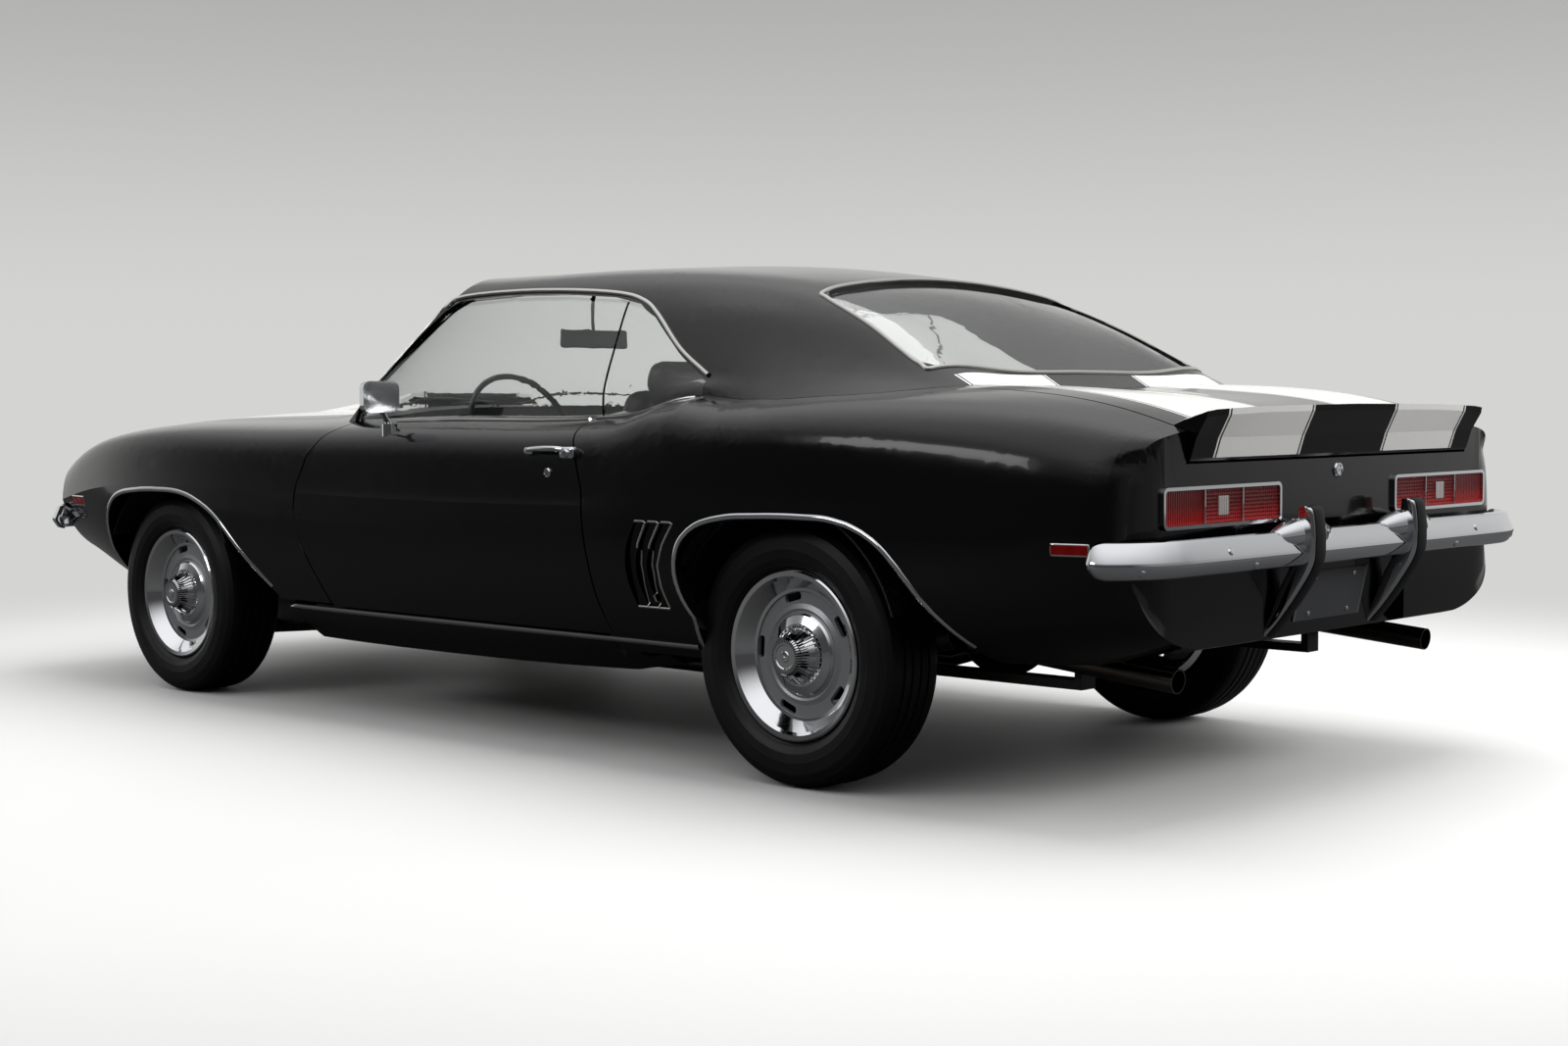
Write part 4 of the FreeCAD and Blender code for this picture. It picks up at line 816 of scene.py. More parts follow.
# Each CAD piece's finish
NODE_FINISH = {
    "black_enamel": ["fenders", "front_valance", "quarter_panels", "rear_valance", "tail_panel"],
    "striped_enamel": ["hood", "header_panel", "decklid", "spoiler", "rear_shelf"],
    "roof_enamel": ["roof"],
    "door_enamel": ["door_left", "door_right"],
    "floor_finish": ["floor_pan"],
    "cowl_enamel": ["cowl_panel"],
    "window_glass": ["fixed_glass", "door_glass_left", "door_glass_right"],
    "red_acrylic": ["tail_lamps", "side_markers"],
    "clear_acrylic": ["reverse_lamps"],
    "fluted_lamp": ["headlamps"],
    "chromium_plate": ["tail_lamp_bezels", "front_bumper", "headlamp_rings", "door_mirror", "door_handle_left",
                       "door_handle_right", "rear_bumper"],
    "grille_abs": ["grille"],
    "plate_paint": ["number_plate"],
    "tyre_rubber": ["tyre_front_left", "tyre_front_right", "tyre_rear_left", "tyre_rear_right"],
    "wheel_metal": ["wheel_front_left", "wheel_front_right", "wheel_rear_left", "wheel_rear_right"],
    "dark_steel": ["knuckle_left", "knuckle_right", "rear_axle", "leaf_springs"],
    "satin_black": ["control_arms", "subframe", "inner_fenders", "firewall"],
    "engine_enamel": ["engine"],
    "cast_aluminium": ["gearbox"],
    "finned_core": ["radiator"],
    "drawn_steel": ["exhaust", "exhaust_tips"],
    "zinc_sheet": ["fuel_tank"],
    "speckle_paint": ["rear_floor"],
    "seat_vinyl": ["front_seats", "rear_seat"],
    "grained_abs": ["dashboard", "steering_column", "steering_wheel"],
    "mirror_shell": ["cabin_mirror"],
}


# Material and slot of the pieces that are made here, and the bodies of a left and a right piece
CHROME = ("chromium_plate", "chrome")
STAINLESS = ("bright_stainless", "chrome")
RUBBER = ("black_rubber", "dash_plastic")
PLASTIC = ("grained_abs", "dash_plastic")
VINYL = ("seat_vinyl", "vinyl")
SATIN = ("satin_black", "steel")
BOTH_FIXED = ("body", "body")
DOORS = ("door_left", "door_right")


# ---- What a user would change

def length(name, description, default):
    return bpy.props.FloatProperty(name=name, description=description, default=default, unit="LENGTH")


def power(name, description, default):
    return bpy.props.FloatProperty(name=name, description=description, default=default, unit="POWER")


def colour(name, description, default):
    return bpy.props.FloatVectorProperty(name=name, description=description, default=default, size=3,
                                         subtype="COLOR")


class PaintSettings(bpy.types.PropertyGroup):
    """The white stripes."""
    stripe_inner: length("Stripe inner edge", "From the centre line", 0.201)
    stripe_outer: length("Stripe outer edge", "From the centre line", 0.54)
    pin_line: length("Pinstripe", "Width of the pinstripe and of its gap", 0.0062)
    stripe_start: length("Stripe start", "Distance of the rear stripes' front ends behind the middle of the car", 1.583)


class TrimSettings(bpy.types.PropertyGroup):
    """Widths of the bright strips."""
    lip_width: length("Wheel moulding", "Width of the wheel opening mouldings", 0.013)
    rail_width: length("Drip moulding", "Width of the moulding over the windows", 0.013)
    belt_width: length("Belt moulding", "Width of the strip under the windows", 0.011)
    window_width: length("Window moulding", "Width of the strip round the windscreen and rear window", 0.012)
    gill_width: length("Gill strip", "Width of the bright strip in a gill", 0.006)


class StageSettings(bpy.types.PropertyGroup):
    """The room that the car stands in."""
    backdrop: colour("Backdrop", "Pale colour behind the car", (0.66, 0.66, 0.65))
    floor: colour("Floor", "Pale colour of the floor", (0.78, 0.78, 0.77))
    ceiling_power: power("Ceiling light", "Power of the large lamp overhead", 150.0)
    rear_power: power("Rear light", "Power of the lamp behind the car", 100.0)
    side_power: power("Side light", "Power of the lamp on the left", 40.0)


# ---- Operators, one for each group of like pieces

class CAR_OT_finishes(bpy.types.Operator):
    """Make every material and give each CAD piece its own"""
    bl_idname = "muscle_car.finishes"
    bl_label = "Finishes"

    def execute(self, context):
        settings = context.scene.car_paint
        make_paints(settings)
        make_metals()
        make_lenses()
        make_soft_finishes()
        make_split_finishes(settings)
        for finish_name, names in NODE_FINISH.items():
            for name in names:
                slots = nodes[name].data.materials
                slots.clear()
                slots.append(MATERIALS[finish_name])
        return {"FINISHED"}


class CAR_OT_rear_body(bpy.types.Operator):
    """Rear body panels with the kicked-up hip and the rounded tail corners"""
    bl_idname = "muscle_car.rear_body"
    bl_label = "Rear body"

    def execute(self, context):
        # Cuts every 35 mm through the hip and every 12 to 15 mm through the tail corners, so that they can bend
        hip = [((-0.60 - 0.035 * k, 0, 0), (1, 0, 0)) for k in range(21)]
        hip += [((0, 0, 0.76 + 0.035 * k), (0, 0, 1)) for k in range(14)]
        tail = [((TAIL_X + 0.006 + 0.012 * k, 0, 0), (1, 0, 0)) for k in range(8)]
        tail += [((0, side * (0.70 + 0.015 * k), 0), (0, 1, 0)) for k in range(12) for side in (1, -1)]
        zones = [(hip, lambda c: -1.40 < c.x < -0.50 and abs(c.y) > 0.5 and c.z > 0.7),
                 (tail, lambda c: c.x < -2.15 and abs(c.y) > 0.5)]
        for name in ("quarter_panels", "roof", "fixed_glass", "tail_panel", "rear_valance"):
            mesh = nodes[name].data.copy()
            shape = bmesh.new()
            shape.from_mesh(mesh)
            bmesh.ops.remove_doubles(shape, verts=shape.verts, dist=1e-6)
            for cuts, within in zones:
                faces = [face for face in shape.faces if within(face.calc_center_median())]
                edges = list(dict.fromkeys(edge for face in faces for edge in face.edges))
                verts = list(dict.fromkeys(vertex for face in faces for vertex in face.verts))
                cut = verts + edges + faces
                for place, across in cuts if faces else ():
                    cut = bmesh.ops.bisect_plane(shape, geom=cut, dist=1e-6, plane_co=place, plane_no=across)["geom"]
            for vertex in shape.verts:
                vertex.co = shaped(vertex.co)
            shape.to_mesh(mesh)
            shape.free()
            piece = bpy.data.objects.new("shaped_" + name, mesh)
            context.scene.collection.objects.link(piece)
            pick(piece)
            bpy.ops.mesh.customdata_custom_splitnormals_clear()
            finish(piece, "body", next(key for key, names in NODE_FINISH.items() if name in names),
                   "glass" if name == "fixed_glass" else "black_paint")
            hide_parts(name)
            skins[name] = piece
        context.view_layer.update()
        return {"FINISHED"}


class CAR_OT_rocker_ends(bpy.types.Operator):
    """The rockers' rear ends, from the doors to the rear wheel openings"""
    bl_idname = "muscle_car.rocker_ends"
    bl_label = "Rocker ends"

    def execute(self, context):
        outer = []
        for z in (0.392, 0.370, 0.350, 0.335, 0.320, 0.308, 0.298, 0.290):
            spot, _ = left_skin(["floor_pan", "door_left"], -0.672, z)
            outer.append((spot.y, z))
        # The door's foot carried back as a shell that follows the quarter panel and thins from 30 to 4 mm
        start = left_skin(["quarter_panels"], -0.720, 0.412)[0].y
        rows = []
        for k in range(15):
            x = -0.682 - 0.352 * k / 14
            shift = left_skin(["quarter_panels"], min(x, -0.720), 0.412)[0].y - start
            ring = [Vector((x + 0.04 * max(0.0, 0.35 - z) * k / 14, y + shift - 0.0012, z)) for y, z in outer]
            ring += [p - Vector((0, 0.03 - 0.026 * min(1.0, k / 11), 0)) for p in reversed(ring)]
            rows.append(ring)
        piece = laid_grid("rocker_end", rows)
        skins["rocker_end"] = piece
        on_both_sides(piece, "rocker_end", BOTH_FIXED, "black_enamel", "black_paint")
        return {"FINISHED"}


class CAR_OT_rear_bumper(bpy.types.Operator):
    """Rounded rear bumper with its guards, horns, rubber strips and bolts"""
    bl_idname = "muscle_car.rear_bumper"
    bl_label = "Rear bumper"

    def execute(self, context):
        half = [Vector((x, y, BUMPER_Z)) for x, y in BUMPER_LINE]
        line = smooth_path([Vector((p.x, -p.y, p.z)) for p in reversed(half[1:])] + half, BUMPER_STEPS)
        rows = []
        for i, place in enumerate(line):
            along = heading(line, i)
            out = Vector((-along.y, along.x, 0))
            left = min((place - line[0]).length, (place - line[-1]).length)
            size = max(math.sqrt(1 - max(0.0, 1 - left / BUMPER_DOME) ** 2), 0.02)
            rows.append([place + out * (0.010 + (a - 0.010) * size) + Vector((0, 0, b * size))
                         for a, b in BUMPER_SECTION])
        blade = laid_grid("blade", rows)
        skins["rear_bumper"] = blade
        pieces = []
        for y, z in BUMPER_BOLTS:
            for side in (1, -1):
                spot, normal = on_surface(["rear_bumper"], (-2.6, side * y, z), (1, 0, 0))
                pieces.append(turned("bolt", spot - normal * 0.001, normal,
                                     [(0, 0), (0.0085, 0), (0.0085, 0.0015), (0.006, 0.004), (0, 0.005)], 20))
        strips = []
        rear = smooth_path([Vector((x, 0, z)) for x, z in GUARD_REAR], GUARD_STEPS)
        front = smooth_path([Vector((x, 0, z)) for x, z in GUARD_FRONT], GUARD_STEPS)
        for side in (1, -1):
            shift = Vector((0, side * GUARD_Y, 0))
            rows = []
            path = []
            for i in range(GUARD_STEPS + 1):
                middle = (rear[i] + front[i]) / 2 + shift
                deep = (rear[i] - front[i]) / 2
                ring = []
                for k in range(24):
                    a = k / 24 * math.tau
                    c, s = (math.copysign(abs(v) ** SQUARENESS, v) for v in (math.cos(a), math.sin(a)))
                    ring.append(middle + deep * c + Vector((0, GUARD_HALF * s, 0)))
                rows.append(ring)
                along = heading(rear, i)
                path.append((rear[i] + shift, Vector((along.z, 0, -along.x)).normalized()))
            pieces.append(laid_grid("guard", rows))
            strips.append(moulding("strip", path, 0.020, 0.004))
            for way in (1, -1):
                pieces.append(turned("horn", (-2.352, side * GUARD_Y + way * 0.016, 0.630),
                                     (0.012, way * 0.120, -0.010), HORN))
        piece = joined([blade] + pieces, "shaped_rear_bumper")
        skins["rear_bumper"] = piece
        finish(piece, "body", *CHROME)
        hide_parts("rear_bumper")
        finish(joined(strips, "guard_strips"), "body", *RUBBER)
        return {"FINISHED"}


class CAR_OT_wheel_mouldings(bpy.types.Operator):
    """Bright mouldings round the wheel openings"""
    bl_idname = "muscle_car.wheel_mouldings"
    bl_label = "Wheel opening mouldings"

    def execute(self, context):
        width = context.scene.car_trim.lip_width / 2
        for end, axle, outline, panel in (("front", FRONT_AXLE_X, FRONT_ARCH, "fenders"),
                                          ("rear", REAR_AXLE_X, REAR_ARCH, "quarter_panels")):
            edge = smooth_path([Vector((axle + x, 0, z)) for x, z in outline], 90)
            hub = Vector((axle, 0, HUB_Z))
            path = []
            for i, place in enumerate(edge):
                along = heading(edge, i)
                out = Vector((along.z, 0, -along.x)).normalized()
                if out.dot(place - hub) < 0:
                    out = -out
                spot = beyond_edge(panel, place, out) + out * (width + 0.0015)
                path.append(left_skin([panel], spot.x, spot.z))
            if end == "rear":
                foot = []
                for step in range(8):
                    spot = path[0][0] + Vector((0.016 * (1 - step / 8), 0, -0.088 * (1 - step / 8)))
                    foot.append(left_skin(["rocker_end", "quarter_panels"], spot.x, spot.z))
                path = foot + path
            piece = moulding(end, path, width, 0.004)
            on_both_sides(piece, end + "_wheel_moulding", BOTH_FIXED, *CHROME)
        return {"FINISHED"}


class CAR_OT_side_mouldings(bpy.types.Operator):
    """Rocker, belt and drip mouldings along the sides"""
    bl_idname = "muscle_car.side_mouldings"
    bl_label = "Side mouldings"

    def execute(self, context):
        trim = context.scene.car_trim
        rocker = [left_skin(["floor_pan", "rocker_end"], 0.780 - 1.786 * i / 80, 0.3205) for i in range(81)]
        piece = moulding("rocker", rocker, 0.009, 0.005)
        on_both_sides(piece, "rocker_moulding", BOTH_FIXED, *STAINLESS)

        belt = [on_surface(["door_left"], (0.300 - 0.838 * i / 40, 0.7920, 1.3), (0, 0, -1)) for i in range(41)]
        piece = moulding("belt", belt, trim.belt_width / 2, 0.006)
        on_both_sides(piece, "door_belt_moulding", DOORS, *STAINLESS)
        belt = []
        line = smooth_path([Vector(p) for p in ((-0.566, 0.7900, 0), (-0.660, 0.789, 0), (-0.740, 0.787, 0),
                                                (-0.800, 0.784, 0), (-0.860, 0.778, 0), (-0.918, 0.770, 0))], 30)
        heights = [on_surface(["quarter_panels"], (p.x, p.y, 1.0), (0, 0, -1))[0].z for p in line]
        for i, place in enumerate(line):
            near = heights[max(i - 3, 0):i + 4]
            belt.append((Vector((place.x, place.y, sum(near) / len(near))), Vector((0, 0.35, 0.94)).normalized()))
        piece = moulding("belt", belt, trim.belt_width / 2, 0.006)
        on_both_sides(piece, "quarter_belt_moulding", BOTH_FIXED, *STAINLESS)

        rail = []
        outline = [shaped(Vector((x, 0.75, z))) for x, z in SIDE_WINDOW]
        outline = smooth_path([Vector((p.x, 0, p.z)) for p in outline], 120)
        for i, place in enumerate(outline):
            along = heading(outline, i)
            out = Vector((along.z, 0, -along.x)).normalized()
            if out.z < -0.2 or (abs(out.z) <= 0.2 and place.x * out.x < 0):
                out = -out
            spot = place + out * (trim.rail_width / 2 + 0.004)
            rail.append(left_skin(["roof"], spot.x, spot.z))
        piece = moulding("rail", rail, trim.rail_width / 2, 0.008)
        on_both_sides(piece, "drip_moulding", BOTH_FIXED, *STAINLESS)
        return {"FINISHED"}


class CAR_OT_window_mouldings(bpy.types.Operator):
    """Bright mouldings round the windscreen and the rear window"""
    bl_idname = "muscle_car.window_mouldings"
    bl_label = "Window mouldings"

    def execute(self, context):
        width = context.scene.car_trim.window_width / 2
        half = smooth_path([Vector((x, y, 0)) for x, y in BACKLIGHT], 60)
        outline = half + [Vector((p.x, -p.y, 0)) for p in reversed(half[1:-1])]
        path = []
        count = len(outline)
        middle = Vector((-1.33, 0, 0))
        for i, place in enumerate(outline):
            along = outline[(i + 1) % count] - outline[i - 1]
            out = Vector((along.y, -along.x, 0)).normalized()
            if (place - middle).dot(out) < 0:
                out = -out
            spot = place + out * (width * 0.75)
            path.append(on_surface(["roof", "quarter_panels", "rear_shelf"], (spot.x, spot.y, 1.6), (0, 0, -1)))
        piece = moulding("rear_window_moulding", path, width, 0.006, loop=True)
        finish(piece, "body", *STAINLESS)

        half = [first_met("roof", (0.92, OUTSIDE_Y, 0.960 + 0.255 * k / 30), INWARDS, width) for k in range(31)]
        half += [first_met("roof", (0.60, 0.560 * (1 - k / 24), 1.6), (0, 0, -1), width) for k in range(25)]
        strip = half + [(Vector((p.x, -p.y, p.z)), Vector((n.x, -n.y, n.z))) for p, n in reversed(half[:-1])]
        piece = moulding("windscreen_moulding", strip, width * 0.8, 0.005)
        finish(piece, "body", *STAINLESS)
        return {"FINISHED"}


class CAR_OT_gill_strips(bpy.types.Operator):
    """Bright curved strips along the rear edges of the gills"""
    bl_idname = "muscle_car.gill_strips"
    bl_label = "Gill strips"

    def execute(self, context):
        width = context.scene.car_trim.gill_width / 2
        pieces = []
        for i in range(3):
            edge = []
            for step in range(31):
                share = 1 - step / 30
                bow = read_off([(0.0, 0.0), (0.25, 0.012), (0.5, 0.017), (0.75, 0.006), (1.0, -0.020)], share)
                x = -0.883 - 0.0395 * i + bow - 0.0095 * i * max(0.0, share - 0.5) * 2
                edge.append(Vector((x - 0.0045, 0, 0.424 + share * 0.209)))
            top = [edge[0] + Vector((0.040 * (1 - k / 5), 0, 0.0035)) for k in range(5)]
            path = [left_skin(["quarter_panels"], p.x, p.z) for p in top + edge]
            pieces.append(moulding("gill", path, width, 0.003))
        foot = [Vector((-0.852 - 0.0057 * k, 0, 0.4195)) for k in range(21)]
        path = [left_skin(["quarter_panels"], p.x, p.z) for p in foot]
        pieces.append(moulding("gill", path, width, 0.003))
        on_both_sides(joined(pieces, "gill"), "gill_strips", BOTH_FIXED, *STAINLESS)
        return {"FINISHED"}


class CAR_OT_tail_trim(bpy.types.Operator):
    """Lamp dividers, trunk lock, marker frames and plate bolts"""
    bl_idname = "muscle_car.tail_trim"
    bl_label = "Tail trim"

    def execute(self, context):
        dividers = []
        for share in (1, 2):
            y = 0.272 + 0.463 / 3 * share
            dividers.append(block("divider", (TAIL_X - 0.008, y - 0.0018, 0.6625), (TAIL_X + 0.016, y + 0.0018, 0.7375),
                                  0.0012, 2))
        on_both_sides(joined(dividers, "dividers"), "lamp_dividers", BOTH_FIXED, *CHROME)

        place, normal = on_surface(["decklid", "tail_panel"], (-2.6, 0.0, 0.765), (1, 0, 0))
        body = body_at(place, ("decklid", "tail_panel"))
        lock = turned("trunk_lock", place - normal * 0.002, normal,
                      [(0, 0), (0.0185, 0), (0.0185, 0.004), (0.016, 0.0075), (0.0125, 0.0085), (0.0118, 0.006),
                       (0.004, 0.006), (0.0035, 0.004), (0, 0.004)])
        finish(lock, body, *CHROME)

        frames = []
        for low_x, high_x, low_z, high_z in ((-2.2165, -2.1335, 0.6055, 0.6265), (1.9495, 2.0605, 0.5955, 0.6225)):
            corners = [(low_x, low_z), (high_x, low_z), (high_x, high_z), (low_x, high_z)]
            path = []
            for k in range(4):
                a = corners[k]
                b = corners[(k + 1) % 4]
                steps = 12 if k % 2 == 0 else 4
                for s in range(steps):
                    x = a[0] + (b[0] - a[0]) * s / steps
                    z = a[1] + (b[1] - a[1]) * s / steps
                    path.append(left_skin(["quarter_panels", "fenders", "header_panel", "side_markers"], x, z))
            frames.append(moulding("marker", path, 0.0035, 0.0025, loop=True))
        on_both_sides(joined(frames, "frames"), "marker_frames", BOTH_FIXED, *CHROME)

        bolts = []
        for y, z in ((-0.09, 0.428), (0.09, 0.428), (-0.09, 0.515), (0.09, 0.515)):
            spot, normal = on_surface(["number_plate"], (-2.6, y, z), (1, 0, 0))
            bolts.append(turned("bolt", spot - normal * 0.001, normal,
                                [(0, 0), (0.0065, 0), (0.0065, 0.0025), (0.0045, 0.0042), (0, 0.0045)], 16))
        finish(joined(bolts, "plate_bolts"), "body", *STAINLESS)
        return {"FINISHED"}


class CAR_OT_wipers(bpy.types.Operator):
    """Two wipers at rest on the windscreen's foot"""
    bl_idname = "muscle_car.wipers"
    bl_label = "Wipers"

    def execute(self, context):
        pieces = []
        for pivot_y, tip_y in ((0.43, -0.02), (-0.12, -0.55)):
            base, up = on_surface(["cowl_panel"], (0.845, pivot_y, 1.4), (0, 0, -1))
            line = []
            for share in (0.0, 0.25, 0.5, 0.75, 1.0):
                y = pivot_y + (tip_y - pivot_y) * share
                height = base.z + 0.022 + 0.012 * math.sin(math.pi * share)
                place, normal = on_surface(["fixed_glass"], (1.3, y, height), (-1, 0, 0))
                line.append(place + normal * 0.011)
            pieces.append(tube("arm", [base + up * 0.004] + line[1:4], [0.005, 0.0035, 0.003, 0.0025], 20, 8))
            pieces.append(tube("blade", [p + Vector((-0.005, 0, -0.002)) for p in line[1:]], 0.0035, 16, 8))
            pieces.append(turned("pivot", base - up * 0.003, up, [(0, 0), (0.013, 0), (0.012, 0.012), (0.007, 0.016),
                                                                 (0, 0.017)], 24))
        finish(joined(pieces, "wipers"), "body", *SATIN)
        return {"FINISHED"}


def seat_shape(name, low, high, rounding, channels, tilt=None, shift=(0, 0, 0)):
    """A padded cushion: a rounded block that is inflated as cloth and then sewn into channels."""
    low = Vector(low)
    high = Vector(high)
    inset = 0.009  # the padding swells back to the CAD seat's outline
    piece = block(name, low + Vector((inset,) * 3), high - Vector((inset,) * 3), rounding, 4)
    remesh = piece.modifiers.new("even", "REMESH")
    remesh.mode = "VOXEL"
    remesh.voxel_size = 0.012
    bpy.ops.object.modifier_apply(modifier="even")
    before = [v.co.copy() for v in piece.data.vertices]
    cloth = piece.modifiers.new("padding", "CLOTH")
    cloth.settings.use_pressure = True
    cloth.settings.uniform_pressure_force = 4.0
    cloth.settings.effector_weights.gravity = 0.0
    cloth.settings.quality = 4
    cloth.collision_settings.use_collision = False
    cloth.point_cache.frame_start = 1
    cloth.point_cache.frame_end = 20
    for number in range(1, 21):
        bpy.context.scene.frame_set(number)
    bpy.ops.object.modifier_apply(modifier="padding")
    bpy.context.scene.frame_set(1)
    cap = 0.0085  # so that it stays within the CAD seat's room
    for vertex, start in zip(piece.data.vertices, before):
        move = vertex.co - start
        if move.length > cap:
            move = move * (cap / move.length)
        vertex.co = start + move
    finer = piece.modifiers.new("finer", "SUBSURF")
    finer.levels = 1
    finer.render_levels = 1
    bpy.ops.object.modifier_apply(modifier="finer")
    half = (high - low) / 2
    centre = (high + low) / 2
    # The crowned face's axis, the axis that the channels are counted along, and their number
    crown_axis, channel_axis, count = channels
    other = 3 - crown_axis - channel_axis
    for vertex in piece.data.vertices:
        local = vertex.co - centre
        face = local[crown_axis] / half[crown_axis]
        run = local[channel_axis] / half[channel_axis]
        reach = abs(local[other]) / half[other]
        if face > 0.55:
            sewn = 0.0
            if abs(run) < FIELD_RUN and reach < FIELD_REACH:
                phase = (run + FIELD_RUN) / (2 * FIELD_RUN) * count
                gap = abs(phase - round(phase)) * 2 * FIELD_RUN * half[channel_axis] / count
                sewn = math.exp(-(gap / SEAM_WIDTH) ** 2)
            border = min(abs(abs(run) - FIELD_RUN) * half[channel_axis] if reach < FIELD_REACH else 1.0,
                         abs(reach - FIELD_REACH) * half[other] if abs(run) < FIELD_RUN else 1.0)
            sewn = max(sewn, 1.3 * math.exp(-(border / SEAM_WIDTH) ** 2))
            vertex.co[crown_axis] -= SEAM_DEPTH * sewn
    if tilt is not None:
        turn_about(piece, (0, 0, 0), (0, 1, 0), tilt)
    piece.data.transform(Matrix.Translation(Vector(shift)))
    return piece


class CAR_OT_front_seats(bpy.types.Operator):
    """Two padded bucket seats with headrests"""
    bl_idname = "muscle_car.front_seats"
    bl_label = "Front seats"

    def execute(self, context):
        left = SEAT_Y - SEAT_HALF
        right = SEAT_Y + SEAT_HALF
        cushion = seat_shape("seat_cushion", (-0.296, left + 0.004, 0.253), (0.206, right - 0.004, 0.4), 0.05,
                             (2, 1, 6))
        back = seat_shape("seat_back", (-0.06, left + 0.004, 0.07), (0.06, right - 0.004, 0.63), 0.05, (0, 1, 6),
                          -SEAT_TILT, (-0.29, 0, 0.38))
        rest = seat_shape("seat_headrest", (-0.05, SEAT_Y - 0.17, 0.585), (0.05, SEAT_Y + 0.17, 0.708), 0.045,
                          (0, 1, 1), -SEAT_TILT, (-0.29, 0, 0.38))
        for piece in (cushion, back, rest):
            name = piece.name
            piece.name = name + "_left"
            copy = mirrored_copy(piece, name + "_right")
            for each in (piece, copy):
                finish(each, "body", *VINYL, 60.0)
                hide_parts("front_seats")
        return {"FINISHED"}


class CAR_OT_rear_seat(bpy.types.Operator):
    """The rear bench and its back"""
    bl_idname = "muscle_car.rear_seat"
    bl_label = "Rear seat"

    def execute(self, context):
        edge = BENCH_HALF - 0.002
        bench = seat_shape("bench_cushion", (-1.066, -edge, 0.462), (-0.642, edge, 0.56), 0.035, (2, 1, 12))
        back = seat_shape("bench_back", (-0.06, -edge, 0.045), (0.06, edge, 0.37), 0.04, (0, 1, 12),
                          -SEAT_TILT - 2, (-1.11, 0, 0.563))
        for piece in (bench, back):
            finish(piece, "body", *VINYL, 60.0)
            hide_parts("rear_seat")
        return {"FINISHED"}


class CAR_OT_cabin_mirror(bpy.types.Operator):
    """Mirror with a rounded shell on a bent stalk"""
    bl_idname = "muscle_car.cabin_mirror"
    bl_label = "Cabin mirror"

    def execute(self, context):
        shell = block("shell", (0.3185, -0.138, 1.1040), (0.3355, 0.138, 1.1610), 0.008, 4)
        stalk = tube("stalk", [(0.330, 0, 1.150), (0.333, 0, 1.200), (0.331, 0, 1.260), (0.326, 0, 1.297)],
                     [0.006, 0.005, 0.006, 0.010], 24, 12)
        piece = joined([shell, stalk], "shaped_cabin_mirror")
        finish(piece, "body", "mirror_shell", "chrome")
        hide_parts("cabin_mirror")
        return {"FINISHED"}


class CAR_OT_controls(bpy.types.Operator):
    """Gauges, wheel pad and gear lever"""
    bl_idname = "muscle_car.controls"
    bl_label = "Controls"

    def execute(self, context):
        facing = Vector((-1, 0, 0.12)).normalized()
        rims = []
        faces = []
        marks = []
        for y, radius in ((0.45, 0.062), (0.27, 0.062), (0.36, 0.024)):
            spot, _ = on_surface(["dashboard"], (-0.2, y, 0.79), (1, 0, 0))
            seat = spot - facing * 0.004
            rims.append(turned("rim", seat, facing, [(radius - 0.006, 0.0), (radius, 0.0), (radius, 0.012),
                                                     (radius - 0.003, 0.016), (radius - 0.006, 0.013),
                                                     (radius - 0.006, 0.0)], 48))
            faces.append(turned("face", seat, facing, [(0, 0), (radius - 0.0055, 0), (radius - 0.0055, 0.006),
                                                       (0, 0.006)], 48))
            side = facing.cross(Vector((0, 0, 1))).normalized()
            up = side.cross(facing)
            ticks = 8 if radius > 0.05 else 4
            for k in range(ticks + 1):
                a = math.radians(-45 + 270 * k / ticks)
                out = side * -math.cos(a) + up * math.sin(a)
                start = seat + facing * 0.0062 + out * (radius * 0.72)
                marks.append(tube("tick", [start, start + out * radius * 0.14], 0.0009, 2, 6))
            start = seat + facing * 0.0085
            marks.append(tube("needle", [start, start + (side * 0.6 + up * 0.5) * radius * 0.7], 0.0010, 2, 6))
        finish(joined(rims, "gauge_rims"), "body", *CHROME)
        finish(joined(faces, "gauge_faces"), "body", "gauge_face", "dash_plastic")
        finish(joined(marks, "gauge_marks"), "body", "white_print", "dash_plastic")

        tilt = math.radians(COLUMN_TILT)
        axis = Vector((-math.cos(tilt), 0, math.sin(tilt)))
        hub = Vector(WHEEL_HUB)
        pad = turned("wheel_pad", hub + axis * 0.011, axis, [(0, 0), (0.052, 0), (0.056, 0.008), (0.050, 0.020),
                                                            (0.030, 0.026), (0, 0.027)], 40)
        finish(pad, "steering_wheel", *PLASTIC)

        base = Vector((0.22, 0, 0.455))
        lever = tube("lever", [base, base + Vector((-0.01, 0, 0.08)), base + Vector((-0.05, 0, 0.19)),
                               base + Vector((-0.06, 0, 0.235))], 0.007, 20, 12)
        folds = [(0, 0), (0.07, 0), (0.066, 0.014), (0.046, 0.022), (0.050, 0.030), (0.032, 0.038), (0.036, 0.046),
                 (0.020, 0.054), (0.012, 0.066), (0, 0.066)]
        boot = turned("boot", base - Vector((0, 0, 0.012)), (0, 0, 1), folds, 32)
        knob = turned("knob", base + Vector((-0.062, 0, 0.225)), (-0.2, 0, 1), [(0, 0), (0.012, 0.001), (0.022, 0.012),
                      (0.025, 0.024), (0.021, 0.038), (0.010, 0.046), (0, 0.048)], 32)
        finish(lever, "body", *CHROME)
        finish(boot, "body", *RUBBER)
        finish(knob, "body", *PLASTIC)
        return {"FINISHED"}


